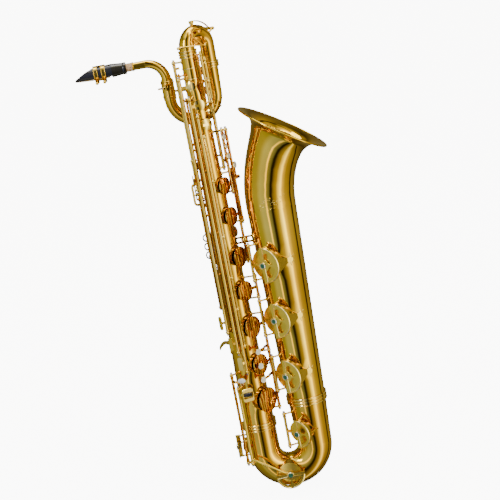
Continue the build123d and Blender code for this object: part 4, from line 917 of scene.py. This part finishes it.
def engraving(bm):
    """A plain scroll of leaves and tendrils on the bell's front, as fine raised lines."""
    for k in range(7):
        centre = -22 + 7.5 * k
        height = 652 + 5.0 * math.sin(k * 1.3) + k * 1.2
        hand = 1 if k % 2 else -1
        curl = []
        for step in range(13):
            t = step / 12
            a = hand * (0.4 + 4.2 * t)
            r = 6.5 * (1 - 0.75 * t)
            curl.append(bell_skin(centre + r * math.cos(a), height + hand * r * math.sin(a), 0.12))
        sweep(bm, curl, 0.00022, sides=6)
        for leaf in (-1, 1):
            spine = []
            for t in (0, 0.25, 0.5, 0.75, 1.0):
                rise = 6 + 3.4 * math.sin(3.1 * t)
                spine.append(bell_skin(centre + leaf * (2 + 5 * t), height + leaf * rise, 0.12))
            sweep(bm, spine, [0.0001, 0.0004, 0.0005, 0.0003, 0.0001], sides=6)


piece("bell_scrollwork", engraving, guard_shine, "body")


# ======================================================================================================
# Stage, lights and camera
# ======================================================================================================
PAPER = 9.0


def stage_material():
    """Plain pale paper, lit evenly from below as on a light table."""
    m = Nodes("pale_paper")
    pale = [(0.3, (0.93, 0.93, 0.93)), (0.7, (0.96, 0.96, 0.96))]
    m.join(m.ramp(m.noise(3.0), pale), m.shader.inputs["Base Color"])
    m.set(Roughness=0.9, Emission_Color=(1.0, 1.0, 1.0, 1.0), Emission_Strength=PAPER)
    return m.material


def floor():
    """A wide pale floor. Polished metal doesn't mirror it, so the studio cards shape the highlights."""
    half = 60.0
    gap = 0.012
    z = cad_box[0][2] - gap
    mesh = bpy.data.meshes.new("floor")
    corners = [(-half, -half, z), (half, -half, z), (half, half, z), (-half, half, z)]
    mesh.from_pydata(corners, [], [(0, 1, 2, 3)])
    mesh.materials.append(stage_material())
    plane = bpy.data.objects.new("floor", mesh)
    bpy.context.collection.objects.link(plane)
    plane.visible_glossy = False
    plane.visible_diffuse = False


def area_light(name, place, target, size, power):
    """A rectangular soft light that looks at a target."""
    data = bpy.data.lights.new(name, "AREA")
    data.shape = "RECTANGLE"
    data.size, data.size_y = size
    data.energy = power
    lamp = bpy.data.objects.new(name, data)
    bpy.context.collection.objects.link(lamp)
    lamp.location = place
    lamp.rotation_euler = (Vector(target) - Vector(place)).to_track_quat("-Z", "Y").to_euler()


# The studio round the object, as colour by bearing: 0 is straight to the front, positive to the right.
COOL, WARM, PLAIN_WHITE, GREENISH = (0.82, 0.97, 1.7), (1.0, 0.84, 0.35), (1.0, 0.98, 0.9), (0.95, 1.02, 0.6)
CARDS = [
    (-180, 0.30, WARM), (-135, 0.16, WARM), (-104, 0.50, GREENISH), (-66, 0.62, GREENISH),
    (-48, 1.05, COOL), (-28, 0.95, COOL), (-25, 3.4, WARM), (-22, 3.4, WARM),
    (-19, 0.60, COOL), (-7, 0.30, COOL), (-3, 0.035, WARM), (4, 0.035, WARM),
    (10, 0.35, WARM), (26, 0.95, WARM), (37, 3.2, PLAIN_WHITE), (46, 6.0, PLAIN_WHITE),
    (54, 2.2, WARM), (70, 0.95, WARM), (96, 0.62, WARM), (101, 0.04, WARM),
    (108, 0.04, WARM), (113, 0.62, WARM), (136, 0.35, WARM), (158, 0.12, WARM), (180, 0.30, WARM),
]


def world():
    """Soft cards round the object, dim between them, a bright ceiling; behind the object plain pale paper."""
    scene_world = bpy.data.worlds.new("studio")
    bpy.context.scene.world = scene_world
    scene_world.use_nodes = True
    tree = scene_world.node_tree
    tree.nodes.clear()
    out = tree.nodes.new("ShaderNodeOutputWorld")
    place = tree.nodes.new("ShaderNodeTexCoord")
    turn = tree.nodes.new("ShaderNodeMapping")
    turn.inputs["Rotation"].default_value = (0.0, 0.0, math.radians(90))
    bearing = tree.nodes.new("ShaderNodeTexGradient")
    bearing.gradient_type = "RADIAL"
    cards = tree.nodes.new("ShaderNodeValToRGB")
    tree.links.new(place.outputs["Generated"], turn.inputs["Vector"])
    tree.links.new(turn.outputs["Vector"], bearing.inputs["Vector"])
    tree.links.new(bearing.outputs["Fac"], cards.inputs["Fac"])
    while len(cards.color_ramp.elements) < len(CARDS):
        cards.color_ramp.elements.new(0.5)
    for element, (degrees, level, tint) in zip(cards.color_ramp.elements, CARDS):
        element.position = (degrees + 180) / 360
        element.color = (*(level * part for part in tint), 1.0)
    split = tree.nodes.new("ShaderNodeSeparateXYZ")
    tree.links.new(place.outputs["Generated"], split.inputs["Vector"])
    height = tree.nodes.new("ShaderNodeValToRGB")
    rise = tree.nodes.new("ShaderNodeMapRange")
    rise.inputs["From Min"].default_value = -1.0
    tree.links.new(split.outputs["Z"], rise.inputs["Value"])
    tree.links.new(rise.outputs["Result"], height.inputs["Fac"])
    levels = [(0.0, 0.35), (0.30, 0.7), (0.45, 1.0), (0.72, 1.0), (0.84, 0.35), (0.92, 1.6), (1.0, 2.2)]
    while len(height.color_ramp.elements) < len(levels):
        height.color_ramp.elements.new(0.5)
    for element, (position, level) in zip(height.color_ramp.elements, levels):
        element.position = position
        element.color = (level, level, level, 1.0)
    blend = tree.nodes.new("ShaderNodeVectorMath")
    blend.operation = "MULTIPLY"
    tree.links.new(cards.outputs["Color"], blend.inputs[0])
    tree.links.new(height.outputs["Color"], blend.inputs[1])
    studio = tree.nodes.new("ShaderNodeBackground")
    tree.links.new(blend.outputs["Vector"], studio.inputs["Color"])
    paper = tree.nodes.new("ShaderNodeBackground")
    paper.inputs["Color"].default_value = (1.0, 1.0, 1.0, 1.0)
    paper.inputs["Strength"].default_value = PAPER + 0.6
    ray = tree.nodes.new("ShaderNodeLightPath")
    mix = tree.nodes.new("ShaderNodeMixShader")
    tree.links.new(ray.outputs["Is Camera Ray"], mix.inputs["Fac"])
    tree.links.new(studio.outputs["Background"], mix.inputs[1])
    tree.links.new(paper.outputs["Background"], mix.inputs[2])
    tree.links.new(mix.outputs["Shader"], out.inputs["Surface"])


def camera():
    """The camera stands in front and above, and rolls so that the instrument leans to the left."""
    place = at(50.14, -3170.0, 1324.0)
    target = at(50.14, 0.0, 553.54)
    roll = math.radians(10.756)
    forward = (target - place).normalized()
    side = Vector((1.0, 0.0, 0.0))
    up = side.cross(forward)
    right = side * math.cos(roll) - up * math.sin(roll)
    top = side * math.sin(roll) + up * math.cos(roll)
    data = bpy.data.cameras.new("camera")
    data.lens = 110.9
    data.sensor_width = 36.0
    lens = bpy.data.objects.new("camera", data)
    bpy.context.collection.objects.link(lens)
    turn = Matrix((right, top, -forward)).transposed()
    lens.matrix_world = Matrix.Translation(place) @ turn.to_4x4()
    bpy.context.scene.camera = lens


floor()
world()
area_light("key_light", (-1.9, -2.2, 1.9), (0.05, 0, 0), (0.5, 1.6), 45)
area_light("top_light", (0.2, 0.3, 2.6), (0.05, 0, 0), (1.2, 1.2), 30)
camera()
